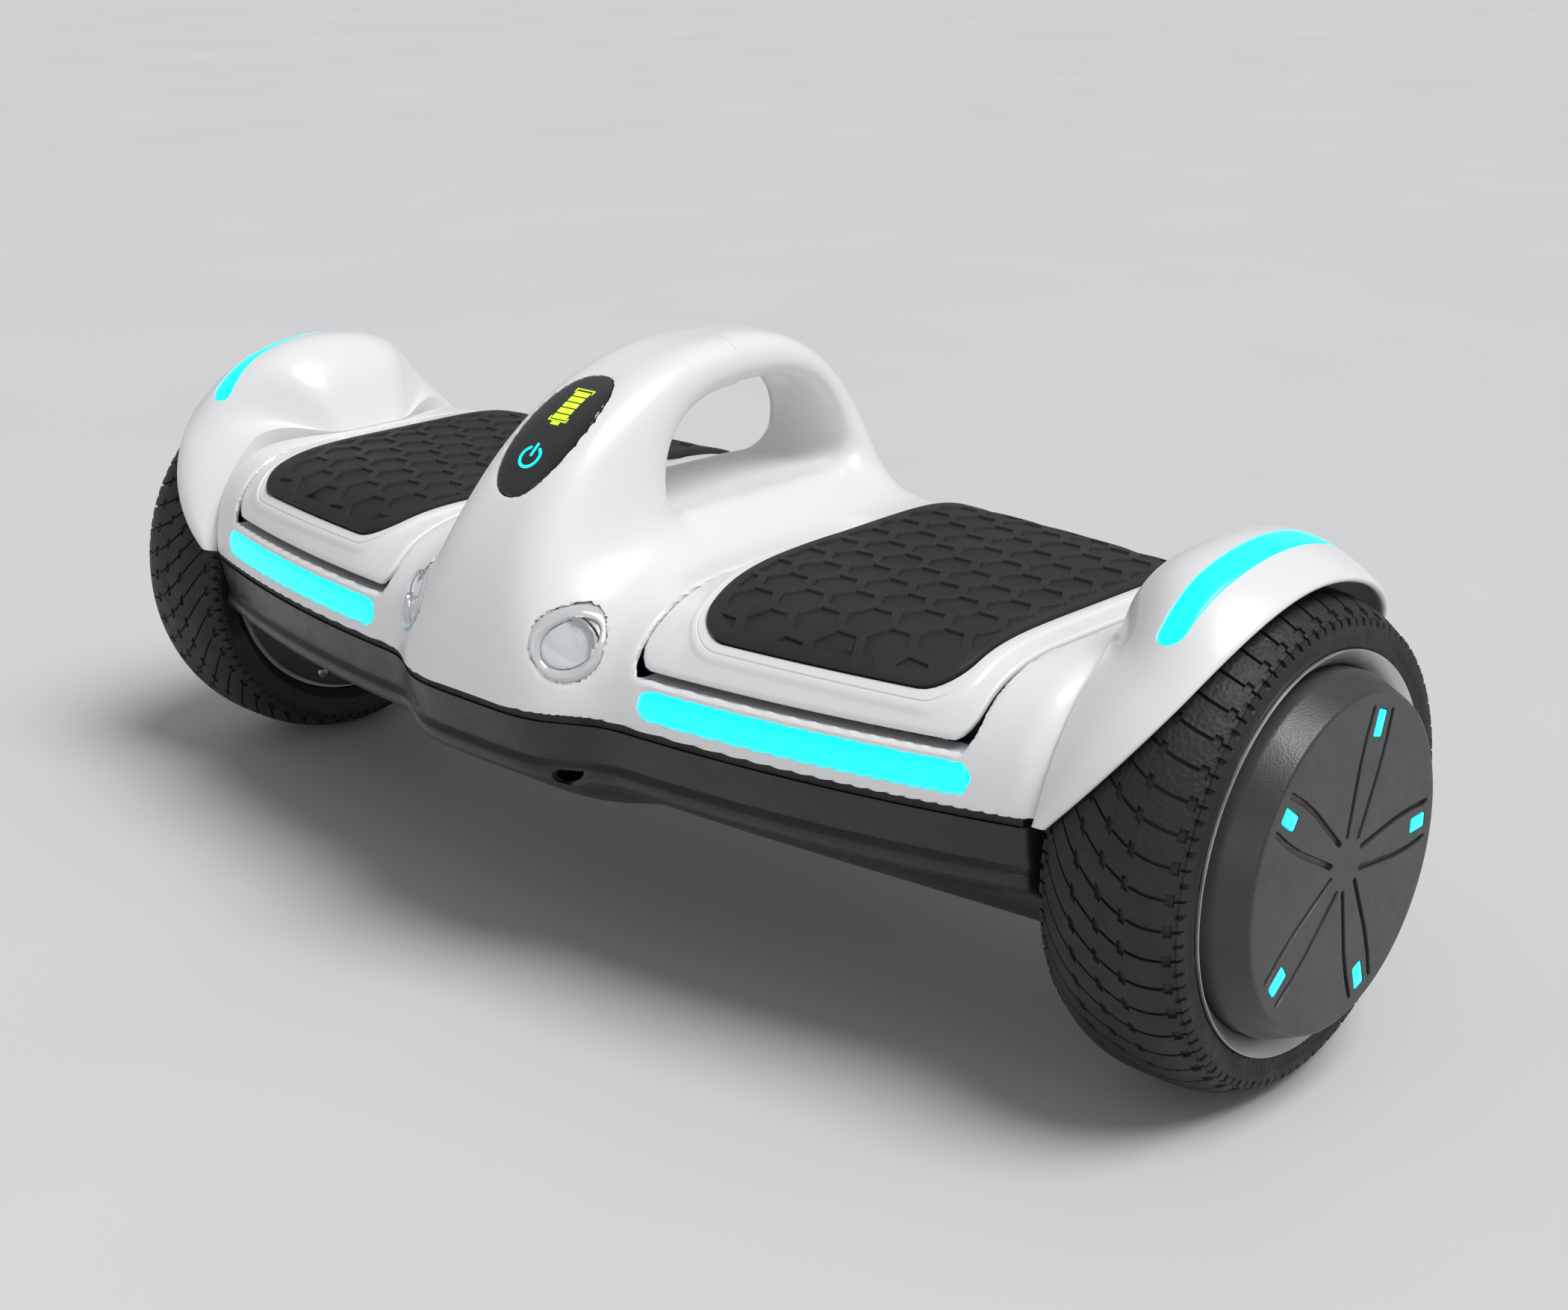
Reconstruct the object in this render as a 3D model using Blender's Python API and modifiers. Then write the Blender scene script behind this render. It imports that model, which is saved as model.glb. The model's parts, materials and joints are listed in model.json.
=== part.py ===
"""A one-piece self balancing hoverboard with hub-motor wheels, rocking foot pedals and a carry arch.

Metres, +Z up. +X is across the board, from wheel to wheel, and -Y is the front.
The origin is on the floor under the board's centre, midway along the wheels' shared axle line.
"""

import math

import bmesh
import bpy
from mathutils import Vector

# Driving dimensions -------------------------------------------------------------------------

GAP = 0.0003  # clearance between touching pieces

TYRE_R = 0.085  # 6.5 inch class wheel
AXLE_Z = TYRE_R
HUB_FACE_X = 0.2874  # outer flat of each wheel
TYRE_MID_X = 0.250
TYRE_HALF_W = 0.0265
ROUND_STEPS = 26  # facets round a turned piece

SHELL_BASE_Z = 0.1054  # lower edge of the white shell
SHELL_END_X = 0.206  # where the deck meets the fenders
SHELL_WALL = 0.0025
DECK_RISE = 0.0446
DECK_HALF_Y = 0.1095
ARCH_RISE = 0.1136
ARCH_HALF_X = 0.031
BULGE_Y = 0.0125  # how far the centre stands out past the deck's edge
ARCH_REAR_IN = 0.0345  # the arch's back stands this far inside its foot
DISPLAY_HALF_X, DISPLAY_HALF_UP = 0.0150, 0.0300
DISPLAY_MIDDLE = (0.0, -0.0745, 0.1920)
DISPLAY_LEAN = math.radians(37.0)
STRIP_IN_X, STRIP_OUT_X, STRIP_MID_Z, STRIP_HALF_Z = 0.0735, 0.2000, 0.115, 0.005
HEADLIGHT_X, HEADLIGHT_Z = 0.0418, 0.1295
FENDER_LOW = math.radians(14.0)  # angle of the fenders' tips above the axle line
FENDER_WALL = 0.0026
FENDER_LIGHT_X = (0.2485, 0.2580)
FENDER_LIGHT_ENDS = (math.radians(55.5), math.radians(124.5))

PEDAL_IN_X, PEDAL_OUT_X = 0.0685, 0.1975
PEDAL_EDGE = 0.955  # pedal's front edge, as a share of the deck's half width
PEDAL_WALL = 0.0035
PEDAL_SLOT = 0.0012  # gap all round a pedal
PEDAL_AXIS_Z = 0.138
PEDAL_LOW_Z = 0.124  # foot plates' lower edge, clear of the front lights as they rock
MAT_IN_X, MAT_OUT_X = 0.073, 0.1865
MAT_EDGE = 0.86
MAT_PROUD, MAT_SINK = 0.0015, 0.0017

BODY_END_X = 0.219  # outer face of the lower shell's end walls
LOWER_TOP_Z = 0.1021
LOWER_WALL = 0.0028
BELLY_Z = 0.060
KEEL_Z = 0.054
FRAME_LOW_Z, FRAME_TOP_Z = 0.0632, 0.0712

AXLE_R = 0.008
AXLE_TIP_R = 0.006
REAR_PORT_X = 0.0105  # charge socket at -X, power button at +X of the centre line
REAR_PORT_Z = 0.094

WHITE = (0.88, 0.88, 0.88)
BLACK = (0.012, 0.012, 0.013)
RUBBER = (0.02, 0.02, 0.02)
DARK = (0.03, 0.03, 0.032)
CYAN = (0.0, 0.95, 1.0)
STEEL = (0.55, 0.56, 0.58)
ALUMINIUM = (0.7, 0.71, 0.73)
BOARD_GREEN = (0.02, 0.2, 0.08)
WRAP_BLUE = (0.05, 0.12, 0.3)


# Scene and materials -------------------------------------------------------------------------


def clear_scene():
    for ob in list(bpy.data.objects):
        bpy.data.objects.remove(ob, do_unlink=True)


def new_collection(name):
    made = bpy.data.collections.new(name)
    bpy.context.scene.collection.children.link(made)
    return made


def material(name, colour, roughness, metallic=0.0, glow=0.0, alpha=1.0):
    made = bpy.data.materials.new(name)
    made.use_nodes = True
    shader = made.node_tree.nodes["Principled BSDF"]
    shader.inputs["Base Color"].default_value = (*colour, 1.0)
    shader.inputs["Roughness"].default_value = roughness
    shader.inputs["Metallic"].default_value = metallic
    shader.inputs["Alpha"].default_value = alpha
    shader.inputs["Emission Color"].default_value = (*colour, 1.0)
    shader.inputs["Emission Strength"].default_value = glow
    return made


def finish_part(ob, finish):
    """Names, shades and files a finished object under its own material."""
    ob.data.name = ob.name
    ob.data.materials.clear()
    ob.data.materials.append(material(ob.name, *finish))
    ob.data.shade_smooth()
    ob.data.set_sharp_from_angle(angle=math.radians(32))
    for owner in list(ob.users_collection):
        owner.objects.unlink(ob)
    parts.objects.link(ob)
    return ob


# Mesh helpers --------------------------------------------------------------------------------


def object_from(name, bm):
    mesh = bpy.data.meshes.new(name)
    bmesh.ops.recalc_face_normals(bm, faces=bm.faces)
    bm.to_mesh(mesh)
    bm.free()
    ob = bpy.data.objects.new(name, mesh)
    bpy.context.scene.collection.objects.link(ob)
    return ob


def loft(name, rings):
    """A solid skinned through rings of equal point count, with flat ends."""
    bm = bmesh.new()
    rows = [[bm.verts.new(point) for point in ring] for ring in rings]
    count = len(rings[0])
    for near, far in zip(rows, rows[1:]):
        for i in range(count):
            j = (i + 1) % count
            bm.faces.new((near[i], near[j], far[j], far[i]))
    bm.faces.new(rows[0])
    bm.faces.new(rows[-1])
    return object_from(name, bm)


def prism(name, outline, z_low, z_high, corner=0.0, sides=3):
    """An outline in the XY plane extruded up, with its sharp vertical edges rounded."""
    ob = loft(name, [[(x, y, z) for x, y in outline] for z in (z_low, z_high)])
    if corner:
        bm = bmesh.new()
        bm.from_mesh(ob.data)
        upright = [
            e
            for e in bm.edges
            if abs(e.verts[0].co.z - e.verts[1].co.z) > 1e-6
            and e.calc_face_angle(0.0) > math.radians(40)
        ]
        bmesh.ops.bevel(
            bm, geom=upright, offset=corner, segments=sides, profile=0.5, affect="EDGES"
        )
        bm.to_mesh(ob.data)
        bm.free()
    return ob


def box(name, low, high, bevel=0.0):
    bm = bmesh.new()
    bmesh.ops.create_cube(bm, size=1.0)
    for v in bm.verts:
        for axis in range(3):
            middle = (low[axis] + high[axis]) / 2
            v.co[axis] = middle + v.co[axis] * (high[axis] - low[axis])
    if bevel:
        bmesh.ops.bevel(bm, geom=bm.edges[:], offset=bevel, segments=2, profile=0.5, affect="EDGES")
    return object_from(name, bm)


def turned(name, profile, steps=ROUND_STEPS):
    """A closed profile of (x, radius) points turned round the wheels' axle line."""
    rings = []
    for k in range(steps):
        angle = 2 * math.pi * k / steps
        rings.append([(x, r * math.cos(angle), AXLE_Z + r * math.sin(angle)) for x, r in profile])
    bm = bmesh.new()
    rows = [[bm.verts.new(point) for point in ring] for ring in rings]
    count = len(profile)
    for k in range(steps):
        near, far = rows[k], rows[(k + 1) % steps]
        for i in range(count):
            j = (i + 1) % count
            bm.faces.new((near[i], near[j], far[j], far[i]))
    bmesh.ops.remove_doubles(bm, verts=bm.verts, dist=1e-6)
    return object_from(name, bm)


def rod(name, start, end, radius, steps=16):
    """A straight round bar between two points."""
    axis = [e - s for s, e in zip(start, end)]
    ob = bpy.data.objects.new(name, bpy.data.meshes.new(name))
    bm = bmesh.new()
    length = math.sqrt(sum(a * a for a in axis))
    bmesh.ops.create_cone(
        bm, cap_ends=True, segments=steps, radius1=radius, radius2=radius, depth=length
    )
    bm.to_mesh(ob.data)
    bm.free()
    bpy.context.scene.collection.objects.link(ob)
    turn = Vector(axis).to_track_quat("Z", "Y").to_matrix().to_4x4()
    turn.translation = [(s + e) / 2 for s, e in zip(start, end)]
    ob.data.transform(turn)
    return ob


def apply_modifiers(ob):
    bpy.context.view_layer.update()
    graph = bpy.context.evaluated_depsgraph_get()
    ob.data = bpy.data.meshes.new_from_object(ob.evaluated_get(graph))
    ob.modifiers.clear()


def combine(ob, other, operation, keep=False):
    """Boolean of ob with other. The other object is filed with the cutters, or removed."""
    step = ob.modifiers.new(operation.title(), "BOOLEAN")
    step.operation = operation
    step.object = other
    apply_modifiers(ob)
    if keep:
        as_cutter(other)
    else:
        bpy.data.objects.remove(other)
    return ob


def as_cutter(ob):
    ob.hide_render = True
    ob.display_type = "WIRE"
    for owner in list(ob.users_collection):
        owner.objects.unlink(ob)
    cutters.objects.link(ob)


def copy_of(ob, name):
    made = bpy.data.objects.new(name, ob.data.copy())
    bpy.context.scene.collection.objects.link(made)
    return made


# The body's shape ----------------------------------------------------------------------------


def plan_half_width(x):
    """Half of the white shell's depth at its lower edge: bowed in plan, with a centre bulge."""
    bow = 0.0295 * (abs(x) / 0.217) ** 2.3
    return DECK_HALF_Y - bow + BULGE_Y * math.exp(-((x / ARCH_HALF_X) ** 4))


def arch_share(x):
    """1 on the carry arch, falling through a fillet to 0 on the deck."""
    return 1 / (1 + (abs(x) / ARCH_HALF_X) ** 9)


def shell_section(x, inset=0.0, count=16, drop=0.0):
    """Ring across the body at x: the deck's squarish curve blended into the arch's ellipse."""
    place = abs(x) + inset
    share = arch_share(place)
    half = plan_half_width(place) - inset
    rear_reach = half - ARCH_REAR_IN * share
    ring = []
    for k in range(count + 1):
        angle = math.pi * k / count
        c, s = math.cos(angle), math.sin(angle)
        deck_y = -half * math.copysign(abs(c) ** 0.4, c)
        deck_z = (DECK_RISE - inset) * abs(s) ** 0.952
        arch_y = -half * c
        if c < 0:
            arch_y = (rear_reach + (half - rear_reach) * (1 - s) ** 5) * abs(c) ** 0.72
        arch_z = (ARCH_RISE - inset) * s
        y = deck_y + (arch_y - deck_y) * share
        z = SHELL_BASE_Z + deck_z + (arch_z - deck_z) * share
        ring.append((x, y, z))
    if drop:
        ring = [(x, ring[0][1], SHELL_BASE_Z - drop), *ring, (x, ring[-1][1], SHELL_BASE_Z - drop)]
    return ring


def stations(end_x, inset=0.0):
    half = [0.012, 0.020, 0.0245, 0.028, 0.031, 0.0345, 0.039, 0.046, 0.056, 0.080, 0.110]
    half += [0.140, 0.170, 0.190]
    half = [x - inset for x in half if x - inset < end_x - 0.004] + [end_x]
    return [-x for x in reversed(half)] + [0.0] + half


def outer_body(name, grow=0.0):
    return loft(name, [shell_section(x, -grow) for x in stations(SHELL_END_X + 0.02 * bool(grow))])


def inner_body(name, inset, end_x):
    return loft(name, [shell_section(x, inset, drop=0.006) for x in stations(end_x, inset)])


def handle_outline(grow=0.0):
    """Side view of the carry handle's opening: a flat floor under a long half-moon."""
    low, high, front, rear = 0.159, 0.2015, -0.045, 0.060
    points = []
    for k in range(19):
        angle = math.pi * k / 18
        c, s = math.cos(angle), math.sin(angle)
        y = (front + rear) / 2 - (rear - front) / 2 * math.copysign(abs(c) ** 0.7, c)
        points.append((y, low + (high - low) * abs(s) ** 0.75))
    middle = (front + rear) / 2
    wide = 1 + 2 * grow / (rear - front)
    tall = 1 + 2 * grow / (high - low)
    centre = (low + high) / 2
    return [(middle + (y - middle) * wide, centre + (z - centre) * tall) for y, z in points]


def handle_tunnel(name, grow=0.0):
    outline = handle_outline(grow)
    return loft(name, [[(x, y, z) for y, z in outline] for x in (-0.07, 0.07)])


def pedal_outline(side, edge, in_x, out_x, grow=0.0, bow=0.0):
    """Plan of a foot plate: follows the deck's edge, squared off at both ends."""
    xs = [in_x - grow + (out_x - in_x + 2 * grow) * k / 8 for k in range(9)]
    front = [(side * x, -edge * plan_half_width(x) - grow) for x in xs]
    rear = [(x, -y) for x, y in reversed(front)]
    return front + [(side * (out_x + grow + bow), 0.0)] + rear + [(side * (in_x - grow - bow), 0.0)]


# Shells --------------------------------------------------------------------------------------


def display_prism(name, grow):
    """An oval bar square to the arch's front, through the display's place."""
    ring = []
    for k in range(24):
        angle = 2 * math.pi * k / 24
        ring.append(((DISPLAY_HALF_X + grow) * math.cos(angle), (DISPLAY_HALF_UP + grow) * math.sin(angle)))
    up = (math.cos(DISPLAY_LEAN), math.sin(DISPLAY_LEAN))
    out = (-math.sin(DISPLAY_LEAN), math.cos(DISPLAY_LEAN))
    _, y, z = DISPLAY_MIDDLE
    rings = []
    for depth in (-0.020, 0.020):
        rings.append([(a, y + b * up[0] + depth * out[0], z + b * up[1] + depth * out[1]) for a, b in ring])
    return loft(name, rings)


def slot_prism(name, side, grow):
    """A round-ended bar along X for a front light strip."""
    ring = []
    for k in range(20):
        angle = 2 * math.pi * k / 20
        middle = STRIP_OUT_X - STRIP_HALF_Z if math.cos(angle) > 0 else STRIP_IN_X + STRIP_HALF_Z
        reach = STRIP_HALF_Z + grow
        ring.append((side * (middle + reach * math.cos(angle)), STRIP_MID_Z + reach * math.sin(angle)))
    return loft(name, [[(x, y, z) for x, z in ring] for y in (-0.130, -0.060)])


def headlight_prism(name, side, grow, y_near, y_far):
    """A leaning egg-shaped bar along Y."""
    ring = []
    for k in range(24):
        angle = 2 * math.pi * k / 24
        reach = 0.0119 + 0.0015 * math.cos(2 * angle - math.radians(262)) - 0.0004 * math.cos(angle) + grow
        ring.append((side * (HEADLIGHT_X + reach * math.cos(angle)), HEADLIGHT_Z + reach * math.sin(angle)))
    return loft(name, [[(x, y, z) for x, z in ring] for y in (y_near, y_far)])


def make_white_shells():
    skin = outer_body("skin")
    core = inner_body("core", SHELL_WALL, SHELL_END_X - SHELL_WALL)
    combine(core, handle_tunnel("tunnel_sleeve", SHELL_WALL), "DIFFERENCE")
    combine(skin, core, "DIFFERENCE")
    combine(skin, handle_tunnel("handle_tunnel"), "DIFFERENCE", keep=True)

    display = combine(copy_of(skin, "display_lens"), display_prism("display_cut", -GAP), "INTERSECT")
    finish_part(display, (BLACK, 0.05))
    combine(skin, display_prism("display_window", 0.0), "DIFFERENCE", keep=True)
    for side, word in ((-1, "left"), (1, "right")):
        strip = copy_of(skin, f"{word}_front_light")
        combine(strip, slot_prism("strip_cut", side, -GAP), "INTERSECT")
        finish_part(strip, (CYAN, 0.4, 0.0, 2.0))
        combine(skin, slot_prism(f"{word}_strip_window", side, 0.0), "DIFFERENCE", keep=True)
        lens = copy_of(skin, f"{word}_headlight_lens")
        combine(lens, headlight_prism("lens_cut", side, -GAP, -0.135, -0.090), "INTERSECT")
        finish_part(lens, ((0.9, 0.95, 1.0), 0.02, 0.0, 0.0, 0.35))
        window = headlight_prism(f"{word}_headlight_window", side, 0.0, -0.135, -0.090)
        combine(skin, window, "DIFFERENCE", keep=True)
        grow = PEDAL_SLOT
        outline = pedal_outline(side, PEDAL_EDGE, PEDAL_IN_X, PEDAL_OUT_X, grow, 0.003)
        well = prism(f"{word}_pedal_window", outline, 0.1145, 0.180, corner=0.006)
        combine(skin, well, "DIFFERENCE", keep=True)
    skin.name = "top_shell"
    finish_part(skin, (WHITE, 0.25))


def knuckle(side, near_x, far_x):
    """A lug under the pedal, with the pivot pin's hole."""
    lug = box("lug", (near_x, -0.009, 0.1315), (far_x, 0.009, 0.1475))
    hole = rod("lug_hole", (near_x - 0.01, 0, PEDAL_AXIS_Z), (far_x + 0.01, 0, PEDAL_AXIS_Z), 0.0033, 16)
    combine(lug, hole, "DIFFERENCE")
    if side < 0:
        mirror_mesh(lug)
    return lug


def mirror_mesh(ob):
    """Turns a piece of the right side into one of the left."""
    bm = bmesh.new()
    bm.from_mesh(ob.data)
    for v in bm.verts:
        v.co.x = -v.co.x
    bmesh.ops.reverse_faces(bm, faces=bm.faces)
    bm.to_mesh(ob.data)
    bm.free()


def make_pedals():
    """Foot plates with a sunk rubber mat. Both start as thick skins cut from the body's shape."""
    for side, word in ((-1, "left"), (1, "right")):
        outline = pedal_outline(side, PEDAL_EDGE, PEDAL_IN_X, PEDAL_OUT_X, 0.0, 0.003)
        plate = outer_body(f"{word}_pedal_plate")
        combine(plate, prism("plate_cut", outline, PEDAL_LOW_Z, 0.200, corner=0.006), "INTERSECT")
        combine(plate, inner_body("plate_core", PEDAL_WALL, SHELL_END_X - 0.001), "DIFFERENCE")
        mat_plan = pedal_outline(side, MAT_EDGE, MAT_IN_X, MAT_OUT_X)
        raised = outer_body(f"{word}_mat", MAT_PROUD)
        combine(raised, prism("mat_cut", mat_plan, 0.120, 0.200, corner=0.014, sides=4), "INTERSECT")
        combine(raised, inner_body("mat_floor", MAT_SINK, SHELL_END_X + 0.01), "DIFFERENCE")
        pocket_plan = pedal_outline(side, MAT_EDGE, MAT_IN_X, MAT_OUT_X, GAP)
        pocket = prism("mat_pocket", pocket_plan, 0.120, 0.200, corner=0.014, sides=4)
        floor = inner_body("pocket_floor", MAT_SINK + GAP, SHELL_END_X + 0.01)
        combine(pocket, floor, "DIFFERENCE")
        combine(plate, pocket, "DIFFERENCE")
        for near_x, far_x in ((0.105, 0.112), (0.158, 0.165)):
            combine(plate, knuckle(side, near_x, far_x), "UNION")
        finish_part(plate, (WHITE, 0.3))
        finish_part(raised, (RUBBER, 0.7))


# Fenders -------------------------------------------------------------------------------------


def deck_radius(angle):
    """Distance from the axle line to the deck's end section, at an angle above the horizontal."""
    half, rise = plan_half_width(SHELL_END_X), DECK_RISE
    low, high = 0.04, 0.12
    for _ in range(40):
        r = (low + high) / 2
        y = r * math.cos(angle)
        z = max(AXLE_Z + r * math.sin(angle) - SHELL_BASE_Z, 0.0)
        inside = (abs(y) / half) ** 5 + (z / rise) ** 2.1 < 1
        low, high = (r, high) if inside else (low, r)
    return low


def fender_row(share, count=8):
    """Points from the deck, over the wheel, to the fender's rim. share is 0 at the tip, 1 on top."""
    angle = FENDER_LOW + (math.pi / 2 - FENDER_LOW) * share
    back = 1 - share
    start_x = SHELL_END_X + GAP
    start_r = deck_radius(angle) - GAP
    rim_x = 0.270 - 0.044 * back**2.83
    rim_r = 0.0907 - 0.0065 * back**8
    reach = rim_x - start_x
    bump = 0.0347 * (1 - back**2)
    xs = (start_x, start_x + (0.03 + 0.14 * back**0.5) * reach, start_x + (0.2 + 0.25 * back) * reach, rim_x)
    rs = (start_r, start_r - 0.006 * share, rim_r + bump, rim_r)
    row = []
    for k in range(count + 1):
        s = k / count
        weights = ((1 - s) ** 3, 3 * s * (1 - s) ** 2, 3 * s * s * (1 - s), s**3)
        x = sum(w * a for w, a in zip(weights, xs))
        r = sum(w * a for w, a in zip(weights, rs))
        row.append((x, angle, r))
    return row


def fender_surface(name, side, rows=6):
    shares = [(k / rows) ** 1.25 for k in range(rows + 1)]
    bm = bmesh.new()
    grid = []
    for share in shares:
        grid.append([(x, -r * math.cos(a), AXLE_Z + r * math.sin(a)) for x, a, r in fender_row(share)])
    for row in reversed(grid[:-1]):
        grid.append([(x, -y, z) for x, y, z in row])
    made = [[bm.verts.new((side * x, y, z)) for x, y, z in row] for row in grid]
    for near, far in zip(made, made[1:]):
        for i in range(len(near) - 1):
            bm.faces.new((near[i], near[i + 1], far[i + 1], far[i]))
    ob = object_from(name, bm)
    if ob.data.polygons[len(ob.data.polygons) // 2].normal.z < 0:
        ob.data.flip_normals()
    return ob


def make_fenders():
    for side, word in ((-1, "left"), (1, "right")):
        fender = fender_surface(f"{word}_fender", side)
        wall = fender.modifiers.new("Wall", "SOLIDIFY")
        wall.thickness = FENDER_WALL
        wall.offset = -1.0
        apply_modifiers(fender)
        light = copy_of(fender, f"{word}_fender_light")
        combine(light, fender_band("band_cut", side, -GAP), "INTERSECT")
        finish_part(light, (CYAN, 0.4, 0.0, 2.0))
        combine(fender, fender_band(f"{word}_fender_window", side, 0.0), "DIFFERENCE", keep=True)
        finish_part(fender, (WHITE, 0.25))


def fender_band(name, side, grow):
    """An arc over the wheel that cuts the light strip's slot out of the fender."""
    in_x, out_x = FENDER_LIGHT_X[0] - grow, FENDER_LIGHT_X[1] + grow
    first, last = FENDER_LIGHT_ENDS[0] - grow / 0.1, FENDER_LIGHT_ENDS[1] + grow / 0.1
    rings = []
    for k in range(15):
        angle = first + (last - first) * k / 14
        ring = []
        for x, r in ((in_x, 0.088), (out_x, 0.088), (out_x, 0.12), (in_x, 0.12)):
            ring.append((side * x, -r * math.cos(angle), AXLE_Z + r * math.sin(angle)))
        rings.append(ring)
    return loft(name, rings)


# Lower shell and what it holds ---------------------------------------------------------------


def keel_z(x):
    step = min(max((abs(x) - 0.025) / 0.040, 0.0), 1.0)
    return KEEL_Z + (BELLY_Z - KEEL_Z) * step * step * (3 - 2 * step)


def lower_section(x, inset=0.0):
    """Ring across the lower shell: a flat face, a rounded lip, and a flat belly."""
    half = plan_half_width(abs(x)) - 0.001 - inset
    base = keel_z(x) + inset
    top = LOWER_TOP_Z + (0.004 if inset else 0.0)
    side = [
        (half, top),
        (half - 0.0035, 0.0865 + inset),
        (half - 0.0022, 0.0842 + inset),
        (half - 0.0040, 0.0795 + inset),
        (half - 0.0120, 0.0745 + inset),
        (0.066 - inset, base + 0.004),
        (0.055 - inset, base),
    ]
    front = [(x, -y, z) for y, z in side]
    rear = [(x, y, z) for y, z in reversed(side)]
    return front + rear


def lower_stations(end_x):
    half = [0.012, 0.025, 0.032, 0.040, 0.052, 0.065, 0.090, 0.120, 0.150, 0.180, end_x]
    return [-x for x in reversed(half)] + [0.0] + half


def make_lower_shell():
    shell = loft("bottom_shell", [lower_section(x) for x in lower_stations(BODY_END_X)])
    core_stations = lower_stations(BODY_END_X - LOWER_WALL)
    combine(shell, loft("core", [lower_section(x, LOWER_WALL) for x in core_stations]), "DIFFERENCE")
    bore = rod("axle_passage", (-0.3, 0, AXLE_Z), (0.3, 0, AXLE_Z), AXLE_R + 0.0015)
    combine(shell, bore, "DIFFERENCE", keep=True)
    combine(shell, box("port_block", (-0.0225, 0.1075, 0.0820), (0.0225, 0.1140, 0.1015)), "UNION")
    seat = box("port_seat", (-0.0195, 0.1130, 0.0842), (0.0195, 0.1300, 0.1035))
    combine(shell, seat, "DIFFERENCE", keep=True)
    for x, r in ((-REAR_PORT_X, 0.0066), (REAR_PORT_X, 0.0059)):
        hole = rod("port_hole", (x, 0.105, REAR_PORT_Z), (x, 0.125, REAR_PORT_Z), r)
        combine(shell, hole, "DIFFERENCE", keep=True)
    finish_part(shell, (DARK, 0.3))


def make_gasket():
    """The dark band that fills the joint between the shells, set in a little from both."""
    def outline(inset, end_x):
        xs = lower_stations(end_x)
        front = [(x, -plan_half_width(x) + inset) for x in xs]
        return front + [(x, -y) for x, y in reversed(front)]

    low, high = LOWER_TOP_Z + GAP, SHELL_BASE_Z - GAP
    band = prism("seam_gasket", outline(0.0016, BODY_END_X - 0.001), low, high)
    hole = prism("gasket_hole", outline(0.0046, BODY_END_X - 0.004), low - 0.01, high + 0.01)
    combine(band, hole, "DIFFERENCE")
    finish_part(band, (BLACK, 0.6))


def make_frame():
    """Steel floor plate with an upright and a half-round axle saddle at each end."""
    frame = box("support_frame", (-0.206, -0.0515, FRAME_LOW_Z), (0.206, 0.0515, FRAME_TOP_Z))
    for side in (-1, 1):
        low, high = sorted((side * 0.184, side * 0.204))
        combine(frame, box("saddle", (low, -0.024, 0.066), (high, 0.024, AXLE_Z - GAP)), "UNION")
    for side in (-1, 1):
        low, high = sorted((side * 0.080, side * 0.086))
        combine(frame, box("rib", (low, -0.0515, 0.070), (high, 0.0515, 0.082)), "UNION")
    groove = rod("axle_groove", (-0.3, 0, AXLE_Z), (0.3, 0, AXLE_Z), AXLE_R + GAP)
    combine(frame, groove, "DIFFERENCE", keep=True)
    finish_part(frame, (STEEL, 0.4, 0.9))


def make_inside():
    """Battery and boards on the floor plate, then each pedal's tray, pin and sensors."""
    battery = box("battery_pack", (-0.078, -0.050, FRAME_TOP_Z + GAP), (0.078, 0.050, 0.0945), 0.002)
    finish_part(battery, (WRAP_BLUE, 0.5))
    main_board = box("main_board", (-0.060, -0.040, 0.0990), (0.060, 0.040, 0.1010))
    finish_part(main_board, (BOARD_GREEN, 0.5))
    display_board = box("display_board", (-0.011, -0.012, 0.1520), (0.011, 0.012, 0.1536))
    finish_part(display_board, (BOARD_GREEN, 0.5))
    for side, word in ((-1, "left"), (1, "right")):
        gyro = box(f"{word}_gyro_board", (0.110, -0.018, 0.0735), (0.150, 0.018, 0.0751))
        pin = rod(f"{word}_pedal_pin", (0.0970, 0, PEDAL_AXIS_Z), (0.1730, 0, PEDAL_AXIS_Z), 0.0030, 16)
        tray = pedal_tray(word)
        pieces = [(gyro, (BOARD_GREEN, 0.5)), (tray, (ALUMINIUM, 0.4, 0.9)), (pin, (STEEL, 0.3, 0.9))]
        for near_y, far_y, end in ((-0.066, -0.054, "front"), (0.054, 0.066, "rear")):
            low, high = (0.120, near_y, 0.1293), (0.150, far_y, 0.1385)
            pieces.append((box(f"{word}_{end}_foot_sensor", low, high, 0.0015), (RUBBER, 0.6)))
        for piece, look in pieces:
            if side < 0:
                mirror_mesh(piece)
            finish_part(piece, look)


def pedal_tray(word):
    """The stand under a pedal: an open box with notched legs and two ears for the pin."""
    tray = box(f"{word}_pedal_tray", (0.090, -0.070, FRAME_TOP_Z + GAP), (0.180, 0.070, 0.1290))
    combine(tray, box("tray_inside", (0.0920, -0.080, 0.060), (0.1780, 0.080, 0.1270)), "DIFFERENCE")
    for near_x, far_x in ((0.0990, 0.1035), (0.1665, 0.1710)):
        combine(tray, box("ear", (near_x, -0.007, 0.1280), (far_x, 0.007, 0.1425)), "UNION")
    for near_y, far_y in ((-0.080, -0.050), (0.050, 0.080)):
        combine(tray, box("leg_notch", (0.080, near_y, 0.060), (0.190, far_y, 0.118)), "DIFFERENCE")
    combine(tray, box("cable_window", (0.080, -0.030, 0.078), (0.190, 0.030, 0.112)), "DIFFERENCE")
    pin_hole = rod("pin_hole", (0.08, 0, PEDAL_AXIS_Z), (0.19, 0, PEDAL_AXIS_Z), 0.0033, 16)
    return combine(tray, pin_hole, "DIFFERENCE")


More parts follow.
